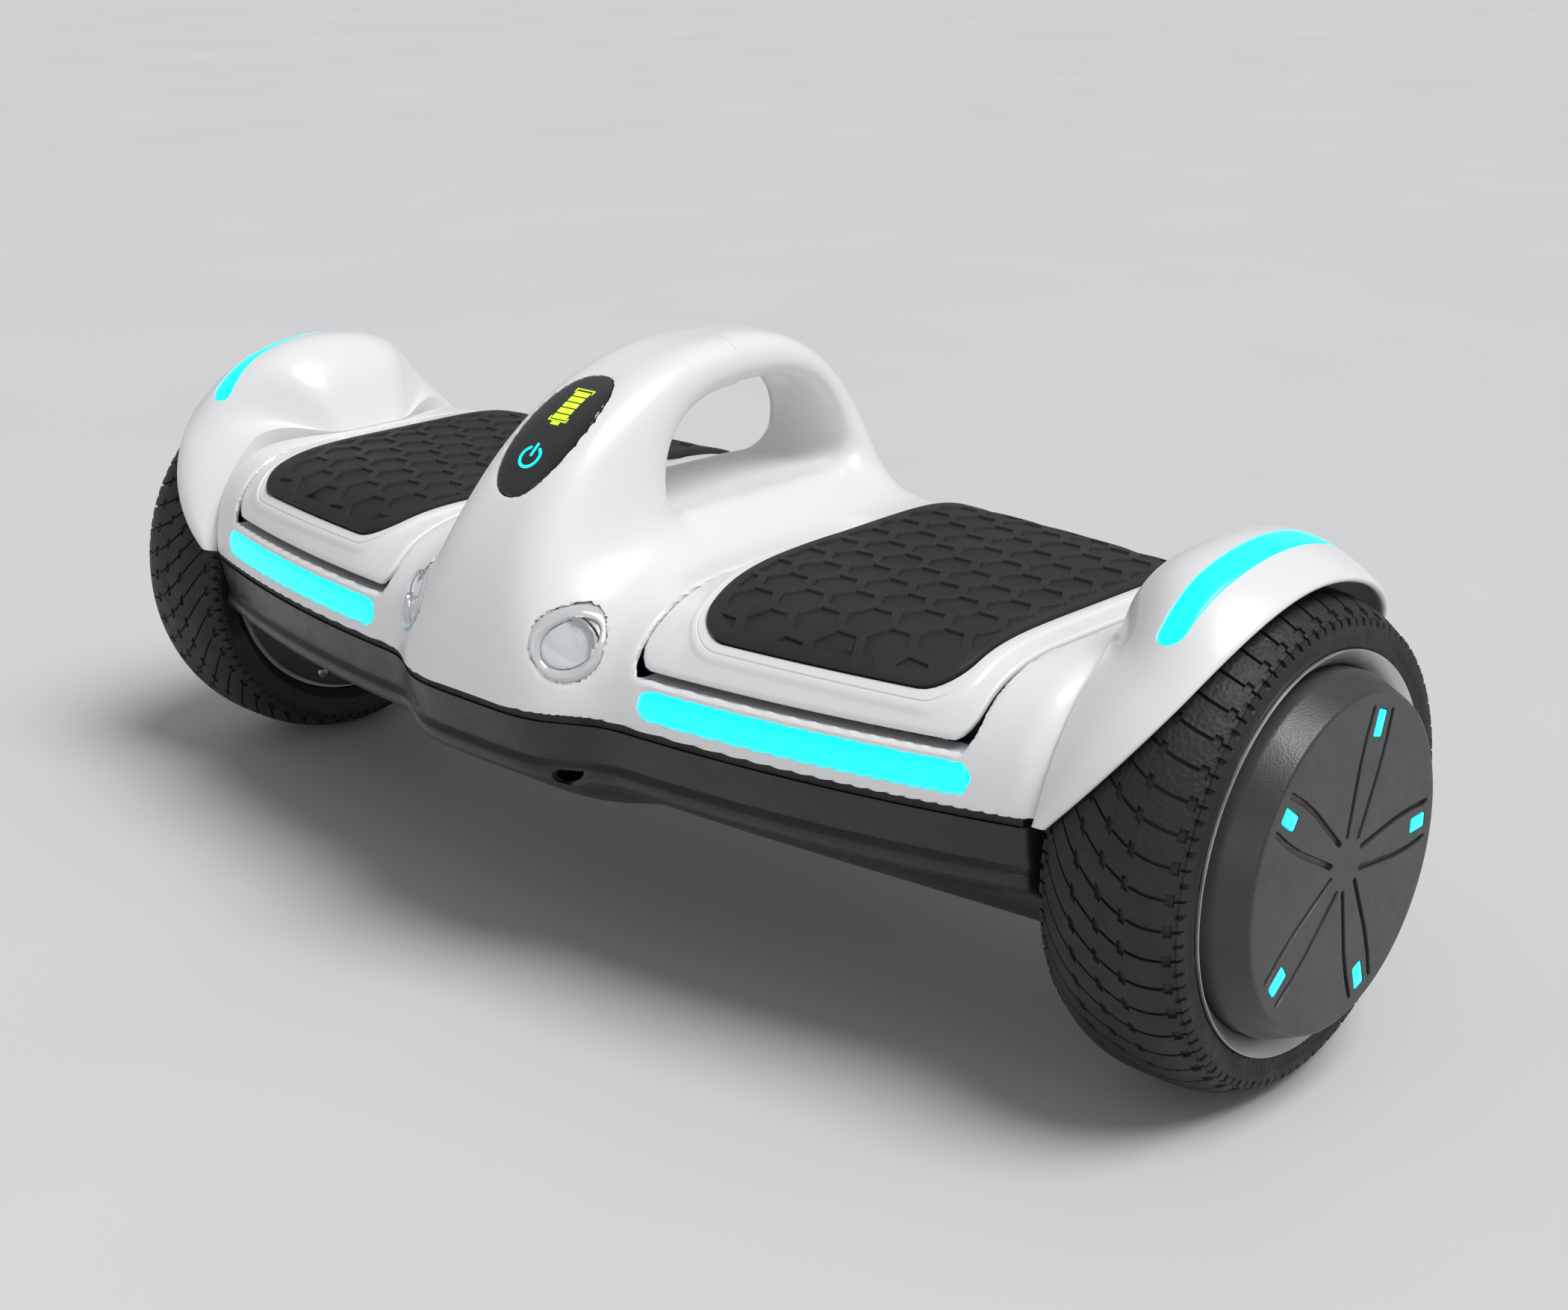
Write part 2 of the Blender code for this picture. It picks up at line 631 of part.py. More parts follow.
def make_ports():
    """Charge socket, its hinged cap, and the power button, in the rear of the centre bulge."""
    x, z = -REAR_PORT_X, REAR_PORT_Z
    socket = rod("charge_socket", (x, 0.0980, z), (x, 0.1128, z), 0.0063)
    combine(socket, rod("socket_mouth", (x, 0.1040, z), (x, 0.1300, z), 0.0048), "DIFFERENCE")
    finish_part(socket, (ALUMINIUM, 0.4, 0.9))
    outer_y, low_z = 0.1158, 0.0850
    cap = box("charge_port_cap", (x - 0.0080, 0.1136, low_z), (x + 0.0080, outer_y, 0.1012), 0.0007)
    place_origin(finish_part(cap, (RUBBER, 0.6)), (x, outer_y, low_z))
    x = REAR_PORT_X
    button = rod("power_button", (x, 0.1060, z), (x, 0.1150, z), 0.0055)
    place_origin(finish_part(button, (DARK, 0.3)), (x, 0.1150, z))


def place_origin(ob, point):
    """Moves an object's origin onto its joint without moving its shape."""
    for v in ob.data.vertices:
        v.co = [v.co[i] - point[i] for i in range(3)]
    ob.location = point
    return ob


def make_headlight_cups():
    for side, word in ((-1, "left"), (1, "right")):
        x, z = side * HEADLIGHT_X, HEADLIGHT_Z
        cup = rod(f"{word}_headlight_reflector", (x, -0.1100, z), (x, -0.0780, z), 0.0104, 24)
        combine(cup, rod("cup_mouth", (x, -0.1200, z), (x, -0.0810, z), 0.0088, 24), "DIFFERENCE")
        combine(cup, inner_body("behind_wall", SHELL_WALL + GAP, SHELL_END_X - 0.01), "INTERSECT")
        finish_part(cup, (ALUMINIUM, 0.15, 1.0))


# Wheels --------------------------------------------------------------------------------------


def tyre_profile():
    """Closed section: crown, shoulders and sidewalls outside, and the seat on the rim inside."""
    crown = []
    for k in range(9):
        offset = -0.025 + 0.050 * k / 8
        crown.append((TYRE_MID_X + offset, TYRE_R - 0.007 * (abs(offset) / 0.025) ** 3.2))
    right = [(TYRE_MID_X + TYRE_HALF_W, 0.0735), (TYRE_MID_X + 0.0255, 0.0685)]
    left = [(TYRE_MID_X - 0.0255, 0.0685), (TYRE_MID_X - TYRE_HALF_W, 0.0735)]
    seat = [(TYRE_MID_X + 0.021, 0.0642), (TYRE_MID_X - 0.021, 0.0642)]
    return crown + right + seat + left


def light_guide(name):
    """A ring behind the hub cover with five windows that reach its outer face."""
    ring = turned(name, [(0.2800, 0.040), (0.2800, 0.053), (0.2820, 0.053), (0.2820, 0.040)])
    for k in range(5):
        combine(ring, hub_window("window", k, -GAP, 0.2810, HUB_FACE_X - 0.0001), "UNION")
    return ring


def hub_window(name, k, grow, near_x, far_x):
    """A small bar along X at one of five places round the hub."""
    angle = 2 * math.pi * k / 5
    out = (math.cos(angle), math.sin(angle))
    across = (-out[1], out[0])
    rings = []
    for x in (near_x, far_x):
        ring = []
        for a, b in ((-1, -1), (1, -1), (1, 1), (-1, 1)):
            radial = 0.0466 + a * (0.0045 + grow)
            wide = b * (0.0027 + grow)
            ring.append((x, out[0] * radial + across[0] * wide, AXLE_Z + out[1] * radial + across[1] * wide))
        rings.append(ring)
    return loft(name, rings)


def stator(name, teeth=12):
    """Wound iron core: teeth round a hub, fixed on the axle."""
    outline = []
    for k in range(teeth):
        for offset, r in ((-0.34, 0.050), (0.34, 0.050), (0.36, 0.040), (0.64, 0.040)):
            angle = 2 * math.pi * (k + offset) / teeth
            outline.append((r * math.cos(angle), AXLE_Z + r * math.sin(angle)))
    core = loft(name, [[(x, y, z) for y, z in outline] for x in (0.238, 0.260)])
    combine(core, rod("core_bore", (0.2, 0, AXLE_Z), (0.3, 0, AXLE_Z), AXLE_R + GAP), "DIFFERENCE")
    return core


HUB_COVER_SECTION = (
    (HUB_FACE_X, 0.0), (HUB_FACE_X, 0.0569), (0.2775, 0.0617), (0.2705, 0.0617),
    (0.2705, 0.0555), (0.2845, 0.0535), (0.2845, 0.0115),
    (0.2760, 0.0115), (0.2760, 0.0145), (0.2825, 0.0145), (0.2825, 0.0),
)
RIM_SECTION = (
    (0.2290, 0.0580), (0.2290, 0.0639), (0.2718, 0.0639), (0.2745, 0.0672),
    (0.2767, 0.0672), (0.2767, 0.0620), (0.2700, 0.0620), (0.2700, 0.0580),
)
MAGNET_SECTION = ((0.2360, 0.0520), (0.2360, 0.0577), (0.2620, 0.0577), (0.2620, 0.0520))
MOTOR_COVER_SECTION = (
    (0.2246, 0.0143), (0.2246, 0.0620), (0.2287, 0.0620), (0.2287, 0.0470),
    (0.2275, 0.0190), (0.2320, 0.0190), (0.2320, 0.0143),
)
INNER_BEARING_SECTION = ((0.2255, 0.0083), (0.2255, 0.0140), (0.2315, 0.0140), (0.2315, 0.0083))
OUTER_BEARING_SECTION = ((0.2765, 0.0063), (0.2765, 0.0112), (0.2820, 0.0112), (0.2820, 0.0063))
AXLE_SECTION = (
    (0.1815, 0.0), (0.1815, AXLE_R), (0.2650, AXLE_R),
    (0.2650, AXLE_TIP_R), (0.2815, AXLE_TIP_R), (0.2815, 0.0),
)


def make_wheel(side, word):
    """Every piece is made on the right, then mirrored for the left."""
    cover = turned(f"{word}_hub_cover", HUB_COVER_SECTION)
    for k in range(5):
        combine(cover, hub_window("hub_slot", k, 0.0, 0.27, 0.30), "DIFFERENCE")
    clamp = box(f"{word}_axle_clamp", (0.1842, -0.0235, AXLE_Z + GAP), (0.2038, 0.0235, 0.0985), 0.0015)
    groove = rod("clamp_groove", (0.1, 0, AXLE_Z), (0.3, 0, AXLE_Z), AXLE_R + GAP)
    combine(clamp, groove, "DIFFERENCE")
    spinning = [
        (turned(f"{word}_tyre", tyre_profile()), (RUBBER, 0.75)),
        (turned(f"{word}_rim", RIM_SECTION), (ALUMINIUM, 0.3, 0.9)),
        (turned(f"{word}_magnet_ring", MAGNET_SECTION), (STEEL, 0.4, 0.9)),
        (turned(f"{word}_motor_cover", MOTOR_COVER_SECTION), (DARK, 0.4, 0.6)),
        (turned(f"{word}_inner_bearing", INNER_BEARING_SECTION, 16), (STEEL, 0.2, 1.0)),
        (turned(f"{word}_outer_bearing", OUTER_BEARING_SECTION, 16), (STEEL, 0.2, 1.0)),
        (light_guide(f"{word}_hub_light"), (CYAN, 0.4, 0.0, 2.0)),
        (cover, (DARK, 0.45, 0.7)),
    ]
    still = [
        (stator(f"{word}_stator"), (STEEL, 0.5, 0.8)),
        (turned(f"{word}_axle", AXLE_SECTION, 16), (STEEL, 0.3, 1.0)),
        (clamp, (ALUMINIUM, 0.4, 0.9)),
    ]
    for piece, look in spinning + still:
        if side < 0:
            mirror_mesh(piece)
        finish_part(piece, look)
    for piece, _ in spinning:
        place_origin(piece, (side * TYRE_MID_X, 0.0, AXLE_Z))


def make_motor_cables():
    """A lead from each axle's end back to the main board."""
    for side, word in ((-1, "left"), (1, "right")):
        stops = [(0.181, 0.0, 0.085), (0.166, 0.0, 0.085), (0.150, 0.004, 0.088),
                 (0.110, 0.020, 0.098), (0.080, 0.024, 0.102), (0.0625, 0.022, 0.1025)]
        curve = bpy.data.curves.new(f"{word}_motor_cable", "CURVE")
        curve.dimensions = "3D"
        curve.bevel_depth = 0.0025
        curve.bevel_resolution = 2
        curve.use_fill_caps = True
        line = curve.splines.new("POLY")
        line.points.add(len(stops) - 1)
        for point, (x, y, z) in zip(line.points, stops):
            point.co = (side * x, y, z, 1.0)
        lead = bpy.data.objects.new(curve.name, curve)
        curve.materials.append(material(curve.name, RUBBER, 0.6))
        parts.objects.link(lead)


clear_scene()
parts = new_collection("self_balancing_hoverboard")
cutters = new_collection("cutters")
make_white_shells()
make_pedals()
make_fenders()
make_lower_shell()
make_gasket()
make_frame()
make_inside()
make_ports()
make_headlight_cups()
for wheel_side, wheel_word in ((-1, "left"), (1, "right")):
    make_wheel(wheel_side, wheel_word)
make_motor_cables()
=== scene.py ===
"""Looks of a one-piece self balancing hoverboard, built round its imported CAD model.

Metres, +Z up, -Y the front. The outer pieces are made again here as fine meshes. The white shell,
display, headlights and light strips are contoured from one formula for the body's surface. The foot
plates, mats and hub covers are relief sheets laid on formulas. The fenders, lower casing and wheels are
skinned from sections.
"""

import json
import math

import bmesh
import bpy
import numpy as np
from mathutils import Matrix, Vector
from mathutils.geometry import delaunay_2d_cdt


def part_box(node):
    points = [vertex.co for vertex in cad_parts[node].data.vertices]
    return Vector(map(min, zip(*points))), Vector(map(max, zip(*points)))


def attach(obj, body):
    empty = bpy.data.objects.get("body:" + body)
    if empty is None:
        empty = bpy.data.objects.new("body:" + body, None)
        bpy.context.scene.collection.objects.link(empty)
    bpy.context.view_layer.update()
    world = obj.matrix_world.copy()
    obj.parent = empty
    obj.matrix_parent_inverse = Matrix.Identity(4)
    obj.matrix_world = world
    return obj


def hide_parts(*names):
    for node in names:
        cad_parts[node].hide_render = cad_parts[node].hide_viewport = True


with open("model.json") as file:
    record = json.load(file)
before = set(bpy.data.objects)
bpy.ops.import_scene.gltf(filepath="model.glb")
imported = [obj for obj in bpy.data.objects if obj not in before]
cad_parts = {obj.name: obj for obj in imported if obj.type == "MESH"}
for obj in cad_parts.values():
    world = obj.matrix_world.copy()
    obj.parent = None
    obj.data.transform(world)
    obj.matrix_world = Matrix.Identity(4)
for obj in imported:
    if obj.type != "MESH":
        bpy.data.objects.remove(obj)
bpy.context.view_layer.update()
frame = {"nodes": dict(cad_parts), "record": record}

# Sizes ----------------------------------------------------------------------------------------

GAP = 0.0003  # between touching pieces

BASE_Z = 0.1054  # lower edge of the white shell
DECK_RISE = 0.0446
DECK_HALF_Y = 0.1095
DECK_POWERS = (5, 2.1)  # across and up, in the deck's squarish section
SHELL_END_X = 0.206
SEAM_X = 0.2235  # the shell's ends reach out this far under the fenders' tips
SHELL_WALL = 0.0028
END_ROUNDING = 0.0100
ARCH_RISE = 0.1136
ARCH_FRONT_Y = 0.122
ARCH_REAR_Y = 0.0875
TUNNEL_Z = (0.1600, 0.2010)
TUNNEL_Y = (-0.0450, 0.0605)
TUNNEL_POWERS = (2.8, 2.4)
CELL = 0.0014  # grid step of the contoured shell

AXLE_Z = 0.085
TYRE_MID_X = 0.250
TYRE_R = 0.085
HUB_FACE_X = 0.2874

PLATE_IN_X, PLATE_OUT_X, PLATE_EDGE = 0.0685, 0.1975, 0.955
PLATE_SLOT = 0.0013
WELL_LOW_Z = 0.1228  # the foot plates' openings stop here, above the light strips
SHELF_Z = 0.1213  # a shelf inside the shell closes the view under the foot plates' edges
MAT_OUT_X, MAT_EDGE = 0.1865, 0.86

STRIP_IN_X, STRIP_OUT_X, STRIP_MID_Z, STRIP_HALF_Z = 0.0735, 0.200, 0.115, 0.005
HEADLIGHT_X, HEADLIGHT_Z = 0.0418, 0.1295
DISPLAY_MIDDLE = np.array([0.0, -0.0745, 0.1920])
DISPLAY_LEAN = math.radians(37.0)
DISPLAY_UP = np.array([0.0, math.cos(DISPLAY_LEAN), math.sin(DISPLAY_LEAN)])
DISPLAY_OUT = np.array([0.0, -math.sin(DISPLAY_LEAN), math.cos(DISPLAY_LEAN)])
DISPLAY_HALF_X, DISPLAY_HALF_UP, DISPLAY_POWER = 0.0150, 0.0300, 2.3

# Angles round the axle over which the fenders turn from blade to dome.
DOME_STARTS, DOME_FULL = math.radians(50), math.radians(80)


# Meshes ---------------------------------------------------------------------------------------


def mesh_object(name, points, faces, sharp=30.0):
    """A smooth-shaded mesh object with creases where faces meet at more than the sharp angle."""
    mesh = bpy.data.meshes.new(name)
    if isinstance(faces, np.ndarray):
        faces = faces.tolist()
    mesh.from_pydata(np.asarray(points, float).tolist(), [], faces)
    mesh.validate()
    mesh.shade_smooth()
    mesh.set_sharp_from_angle(angle=math.radians(sharp))
    ob = bpy.data.objects.new(name, mesh)
    bpy.context.scene.collection.objects.link(ob)
    return ob


def cell_vertices(count, crossing, normal, cell_of):
    """One point for each cell, where the planes at its edge crossings meet best."""
    def total(values):
        return np.bincount(cell_of, values, count)

    share = np.maximum(total(np.ones(len(cell_of))), 1)
    middle = np.stack([total(crossing[:, i]) / share for i in range(3)], 1)
    matrix = np.zeros((count, 3, 3))
    for i in range(3):
        for j in range(3):
            matrix[:, i, j] = total(normal[:, i] * normal[:, j])
    matrix += 0.06 * np.eye(3)  # pulls the point toward the middle where the planes are nearly parallel
    reach = (normal * (crossing - middle[cell_of])).sum(1)
    right = np.stack([total(normal[:, i] * reach) for i in range(3)], 1)
    return middle + np.linalg.solve(matrix, right[:, :, None])[:, :, 0]


def contour(name, field, low, high, cell, half=False, sharp=30.0):
    """The surface where field is zero, by dual contouring. With half, only x > 0 is made, then mirrored."""
    low = np.array(low, float)
    if half:
        low[0] = -cell / 2
    counts = [int(math.ceil((h - l) / cell)) + 1 for l, h in zip(low, high)]
    axes = [l + cell * np.arange(n) for l, n in zip(low, counts)]
    value = field(*np.meshgrid(*axes, indexing="ij"))
    inside = value < 0
    cells = [n - 1 for n in counts]
    crossings, owners, flips = [], [], []
    for axis in range(3):
        near = [slice(None)] * 3
        far = [slice(None)] * 3
        near[axis], far[axis] = slice(0, -1), slice(1, None)
        near, far = tuple(near), tuple(far)
        place = np.argwhere(inside[near] != inside[far])
        b, c = (axis + 1) % 3, (axis + 2) % 3
        safe = (place[:, b] > 0) & (place[:, c] > 0) & (place[:, b] < cells[b]) & (place[:, c] < cells[c])
        place = place[safe]
        first = value[near][tuple(place.T)]
        last = value[far][tuple(place.T)]
        point = low + cell * place
        point[:, axis] += cell * first / (first - last)
        around = []
        for step_b, step_c in ((0, 0), (-1, 0), (-1, -1), (0, -1)):
            corner = place.copy()
            corner[:, b] += step_b
            corner[:, c] += step_c
            around.append(np.ravel_multi_index(tuple(corner.T), cells))
        crossings.append(point)
        owners.append(np.stack(around, 1))
        flips.append(first > 0)
    crossing, owner, flip = np.concatenate(crossings), np.concatenate(owners), np.concatenate(flips)
    step = cell * 0.1
    normal = np.zeros_like(crossing)
    for i in range(3):
        shift = np.zeros(3)
        shift[i] = step
        normal[:, i] = field(*(crossing + shift).T) - field(*(crossing - shift).T)
    normal /= np.linalg.norm(normal, axis=1, keepdims=True) + 1e-12
    used, cell_of = np.unique(owner, return_inverse=True)
    cell_of = cell_of.reshape(owner.shape)
    points = cell_vertices(len(used), np.repeat(crossing, 4, 0), np.repeat(normal, 4, 0), cell_of.ravel())
    corner = np.stack(np.unravel_index(used, cells), 1)
    centre = low + cell * (corner + 0.5)
    points = np.clip(points, centre - 0.55 * cell, centre + 0.55 * cell)
    if half:
        points[corner[:, 0] == 0, 0] = 0.0
    quads = np.where(flip[:, None], cell_of[:, ::-1], cell_of)
    ob = mesh_object(name, points, quads, sharp)
    if half:
        mirror = ob.modifiers.new("Mirror", "MIRROR")
        mirror.merge_threshold = 1e-5
        apply_modifiers(ob)
    return ob


def apply_modifiers(ob):
    bpy.context.view_layer.update()
    graph = bpy.context.evaluated_depsgraph_get()
    mesh = bpy.data.meshes.new_from_object(ob.evaluated_get(graph))
    ob.modifiers.clear()
    ob.data = mesh


# The body's surface as a distance-like field ---------------------------------------------------


def smooth_min(a, b, reach):
    """The lesser of two fields, with a fillet where they are within reach of each other."""
    overlap = np.maximum(reach - np.abs(a - b), 0.0) / reach
    return np.minimum(a, b) - overlap * overlap * reach / 4


def smooth_max(a, b, reach):
    return -smooth_min(-a, -b, reach)


def zero_between(field, near, far):
    """Where a field that rises from near to far passes zero, for arrays of limits."""
    for _ in range(34):
        middle = (near + far) / 2
        out = field(middle) > 0
        near, far = np.where(out, near, middle), np.where(out, middle, far)
    return near


def half_depth(x):
    """Half of the deck's depth at its lower edge: bowed in plan."""
    return DECK_HALF_Y - 0.0295 * (np.abs(x) / 0.217) ** 2.3


def dome_field(across, up, half, rise, powers):
    """A squarish dome. across and up are shares of its half width and its rise."""
    power_y, power_z = powers
    slope = np.hypot(power_y * across ** (power_y - 1) / half, power_z * up ** (power_z - 1) / rise)
    return (across**power_y + up**power_z - 1) / (slope + 1.0)


def deck_field(x, y, z):
    """A bar whose section is a squarish dome."""
    half = half_depth(x)
    up = np.maximum(z - BASE_Z, 0.0) / DECK_RISE
    return dome_field(np.abs(y) / half, up, half, DECK_RISE, DECK_POWERS)


def arch_field(x, y, z):
    """The carry arch: a rounded hump seen from the side, flat-sided, widening to its foot."""
    up = np.maximum(z - BASE_Z, 0.0) / ARCH_RISE
    foot = (ARCH_FRONT_Y - ARCH_REAR_Y) * np.clip(1 - 2.6 * up, 0, 1) ** 3
    reach = np.where(y < 0, ARCH_FRONT_Y, ARCH_REAR_Y + foot)
    power = np.where(y < 0, 2.03, 2.6)
    across = np.abs(y) / reach
    round_ = (across**power + up**power) ** (1 / power) + 1e-6
    half_x = 0.0315 + 0.0250 * np.exp(-((up * ARCH_RISE / 0.048) ** 2))
    side = np.abs(x) / half_x
    corner = np.where(y < 0, 4.4, 3.6)
    level = (round_**corner + side**corner) ** (1 / corner)
    lean = np.hypot(across ** (power - 1) / reach, up ** (power - 1) / ARCH_RISE) / round_ ** (power - 1)
    slope = np.hypot((round_ / level) ** (corner - 1) * lean, (side / level) ** (corner - 1) / half_x)
    return (level - 1) / (slope + 1e-6)


def tunnel_field(y, z):
    """The hand opening: a flat floor under a long dome, straight through along X."""
    low, rise = TUNNEL_Z[0], TUNNEL_Z[1] - TUNNEL_Z[0]
    middle, half = sum(TUNNEL_Y) / 2, (TUNNEL_Y[1] - TUNNEL_Y[0]) / 2
    up = np.maximum(z - low, 0.0) / rise
    dome = dome_field(np.abs(y - middle) / half, up, half, rise, TUNNEL_POWERS)
    return smooth_max(dome, low - z, 0.012)


def body_field(x, y, z):
    """Outer surface of the white shell, without its windows."""
    solid = smooth_min(deck_field(x, y, z), arch_field(x, y, z), 0.016)
    return smooth_max(solid, -tunnel_field(y, z), 0.016)


def round_corners(along, across, corner):
    """Plan distance from a shape given by its two signed distances, with rounded corners."""
    along, across = along + corner, across + corner
    outside = np.hypot(np.maximum(along, 0), np.maximum(across, 0))
    return outside + np.minimum(np.maximum(along, across), 0) - corner


def plate_outline_field(x, y, grow):
    """Plan distance from a foot plate's outline."""
    middle, half = (PLATE_IN_X + PLATE_OUT_X) / 2, (PLATE_OUT_X - PLATE_IN_X) / 2
    bow = 0.003 * (1 - np.clip(np.abs(y) / 0.09, 0, 1) ** 2)
    along = np.abs(np.abs(x) - middle) - half - bow - grow
    return round_corners(along, np.abs(y) - PLATE_EDGE * half_depth(x) - grow, 0.006)


def strip_field(x, z, grow):
    """Front view distance from a light strip's round-ended outline."""
    middle, half = (STRIP_IN_X + STRIP_OUT_X) / 2, (STRIP_OUT_X - STRIP_IN_X) / 2
    along = np.maximum(np.abs(np.abs(x) - middle) - half + STRIP_HALF_Z, 0)
    return np.hypot(along, z - STRIP_MID_Z) - STRIP_HALF_Z - grow


def headlight_field(x, z, grow):
    """Front view distance from a headlight's outline: a leaning egg."""
    a, b = np.abs(x) - HEADLIGHT_X, z - HEADLIGHT_Z
    angle = np.arctan2(b, a)
    reach = 0.0119 + 0.0015 * np.cos(2 * angle - math.radians(262)) - 0.0004 * np.cos(angle)
    return np.hypot(a, b) - reach - grow


def display_field(x, y, z, grow):
    """Distance from the display's oval outline, seen square on, and kept to the front of the arch."""
    back, high = y - DISPLAY_MIDDLE[1], z - DISPLAY_MIDDLE[2]
    up = back * DISPLAY_UP[1] + high * DISPLAY_UP[2]
    out = back * DISPLAY_OUT[1] + high * DISPLAY_OUT[2]
    half_x, half_up, power = DISPLAY_HALF_X + grow, DISPLAY_HALF_UP + grow, DISPLAY_POWER
    across, along = np.abs(x) / half_x, np.abs(up) / half_up
    level = (across**power + along**power) ** (1 / power) + 1e-6
    slope = np.hypot(across ** (power - 1) / half_x, along ** (power - 1) / half_up) / level ** (power - 1)
    oval = (level - 1) / (slope + 1e-6)
    return np.maximum(oval, np.abs(out) - 0.022)


def eased(value, low, high):
    """0 below low, 1 above high, and a smooth step between."""
    step = np.clip((value - low) / (high - low), 0, 1)
    return step * step * (3 - 2 * step)


def seam_x(lift):
    """How far out the shell meets a fender, at an angle above the horizontal round the axle line."""
    return SEAM_X + (SHELL_END_X - SEAM_X) * eased(lift, DOME_STARTS, DOME_FULL)


def shell_field(x, y, z):
    """The white shell: a thin wall under the body's surface, with rounded ends and its windows."""
    body = body_field(x, y, z)
    lift = np.arctan2(np.maximum(z - AXLE_Z, 0), np.abs(y) + 1e-9)
    rounding = END_ROUNDING - 0.95 * END_ROUNDING * eased(lift, DOME_STARTS, DOME_FULL)
    outer = smooth_max(body, np.abs(x) - seam_x(lift), rounding)
    wall = smooth_max(outer, -(outer + SHELL_WALL), 0.0008)
    wall = smooth_max(wall, BASE_Z - z, 0.0012)
    wall = np.maximum(wall, -(body + 0.0062))  # the ends stay open behind their rounding
    well = np.maximum(plate_outline_field(x, y, PLATE_SLOT), WELL_LOW_Z - z)
    wall = smooth_max(wall, -well, 0.0016)
    shelf = np.maximum(np.abs(z - SHELF_Z) - 0.0011, np.abs(body + 0.0070) - 0.0055)
    wall = np.minimum(wall, np.maximum(shelf, np.abs(np.abs(x) - 0.134) - 0.064))
    front = np.maximum(y + 0.060, 0)
    for window in (strip_field(x, z, GAP), headlight_field(x, z, GAP)):
        wall = smooth_max(wall, -np.maximum(window, front), 0.0006)
    return smooth_max(wall, -display_field(x, y, z, GAP), 0.0006)


def make_white_shell():
    high = (SEAM_X + 2 * CELL, ARCH_FRONT_Y + 0.006, BASE_Z + ARCH_RISE + 0.004)
    low = (0.0, -ARCH_FRONT_Y - 0.006, BASE_Z - 2 * CELL)
    return contour("white_shell", shell_field, low, high, CELL, half=True)


def place_camera():
    camera = bpy.data.objects.new("camera", bpy.data.cameras.new("camera"))
    camera.data.lens = 52.16
    camera.data.sensor_width = 36.0
    camera.location = (0.60535, -0.60803, 0.38406)
    camera.rotation_euler = (math.radians(90 - 19.013), 0.0, math.radians(42.738))
    bpy.context.scene.collection.objects.link(camera)
    bpy.context.scene.camera = camera


# Relief sheets ---------------------------------------------------------------------------------


def loop_where(field, middle, count=160, reach=0.16):
    """The closed loop where a plan field is zero, found outward from a middle and evenly spaced."""
    angle = np.linspace(0, 2 * math.pi, 721)[:-1]
    ray = np.stack([np.cos(angle), np.sin(angle)], 1)
    limits = np.zeros(len(angle)), np.full(len(angle), reach)
    edge = zero_between(lambda r: field(*(middle + ray * r[:, None]).T), *limits)
    loop = middle + ray * edge[:, None]
    closed = np.vstack([loop, loop[:1]])
    length = np.concatenate([[0], np.cumsum(np.hypot(*np.diff(closed, axis=0).T))])
    even = np.linspace(0, length[-1], count + 1)[:-1]
    return np.stack([np.interp(even, length, closed[:, i]) for i in range(2)], 1)


def inside_loop(points, loop):
    """Which plan points lie inside a closed loop, by the even-odd rule."""
    x, y = points[:, :1], points[:, 1:]
    ax, ay = loop.T
    bx, by = np.roll(loop, -1, 0).T
    at = ax + (y - ay) * (bx - ax) / np.where(by == ay, 1e-12, by - ay)
    return (((ay > y) != (by > y)) & (x < at)).sum(1) % 2 == 1


def inset(loop, distance):
    """A convex counter-clockwise loop drawn in by a small distance."""
    ahead = np.roll(loop, -1, 0) - loop
    ahead /= np.linalg.norm(ahead, axis=1, keepdims=True)
    normal = np.stack([-ahead[:, 1], ahead[:, 0]], 1)
    before = np.roll(normal, 1, 0)
    mitre = normal + before
    return loop + distance * mitre / (1 + (normal * before).sum(1, keepdims=True))


def clip_to(loop, field):
    """The part of a small convex loop on the negative side of a plan field."""
    kept = []
    value = field(loop[:, 0], loop[:, 1])
    for k in range(len(loop)):
        j = (k + 1) % len(loop)
        if value[k] <= 0:
            kept.append(loop[k])
        if (value[k] <= 0) != (value[j] <= 0):
            kept.append(loop[k] + (loop[j] - loop[k]) * value[k] / (value[k] - value[j]))
    return np.array(kept).reshape(-1, 2)


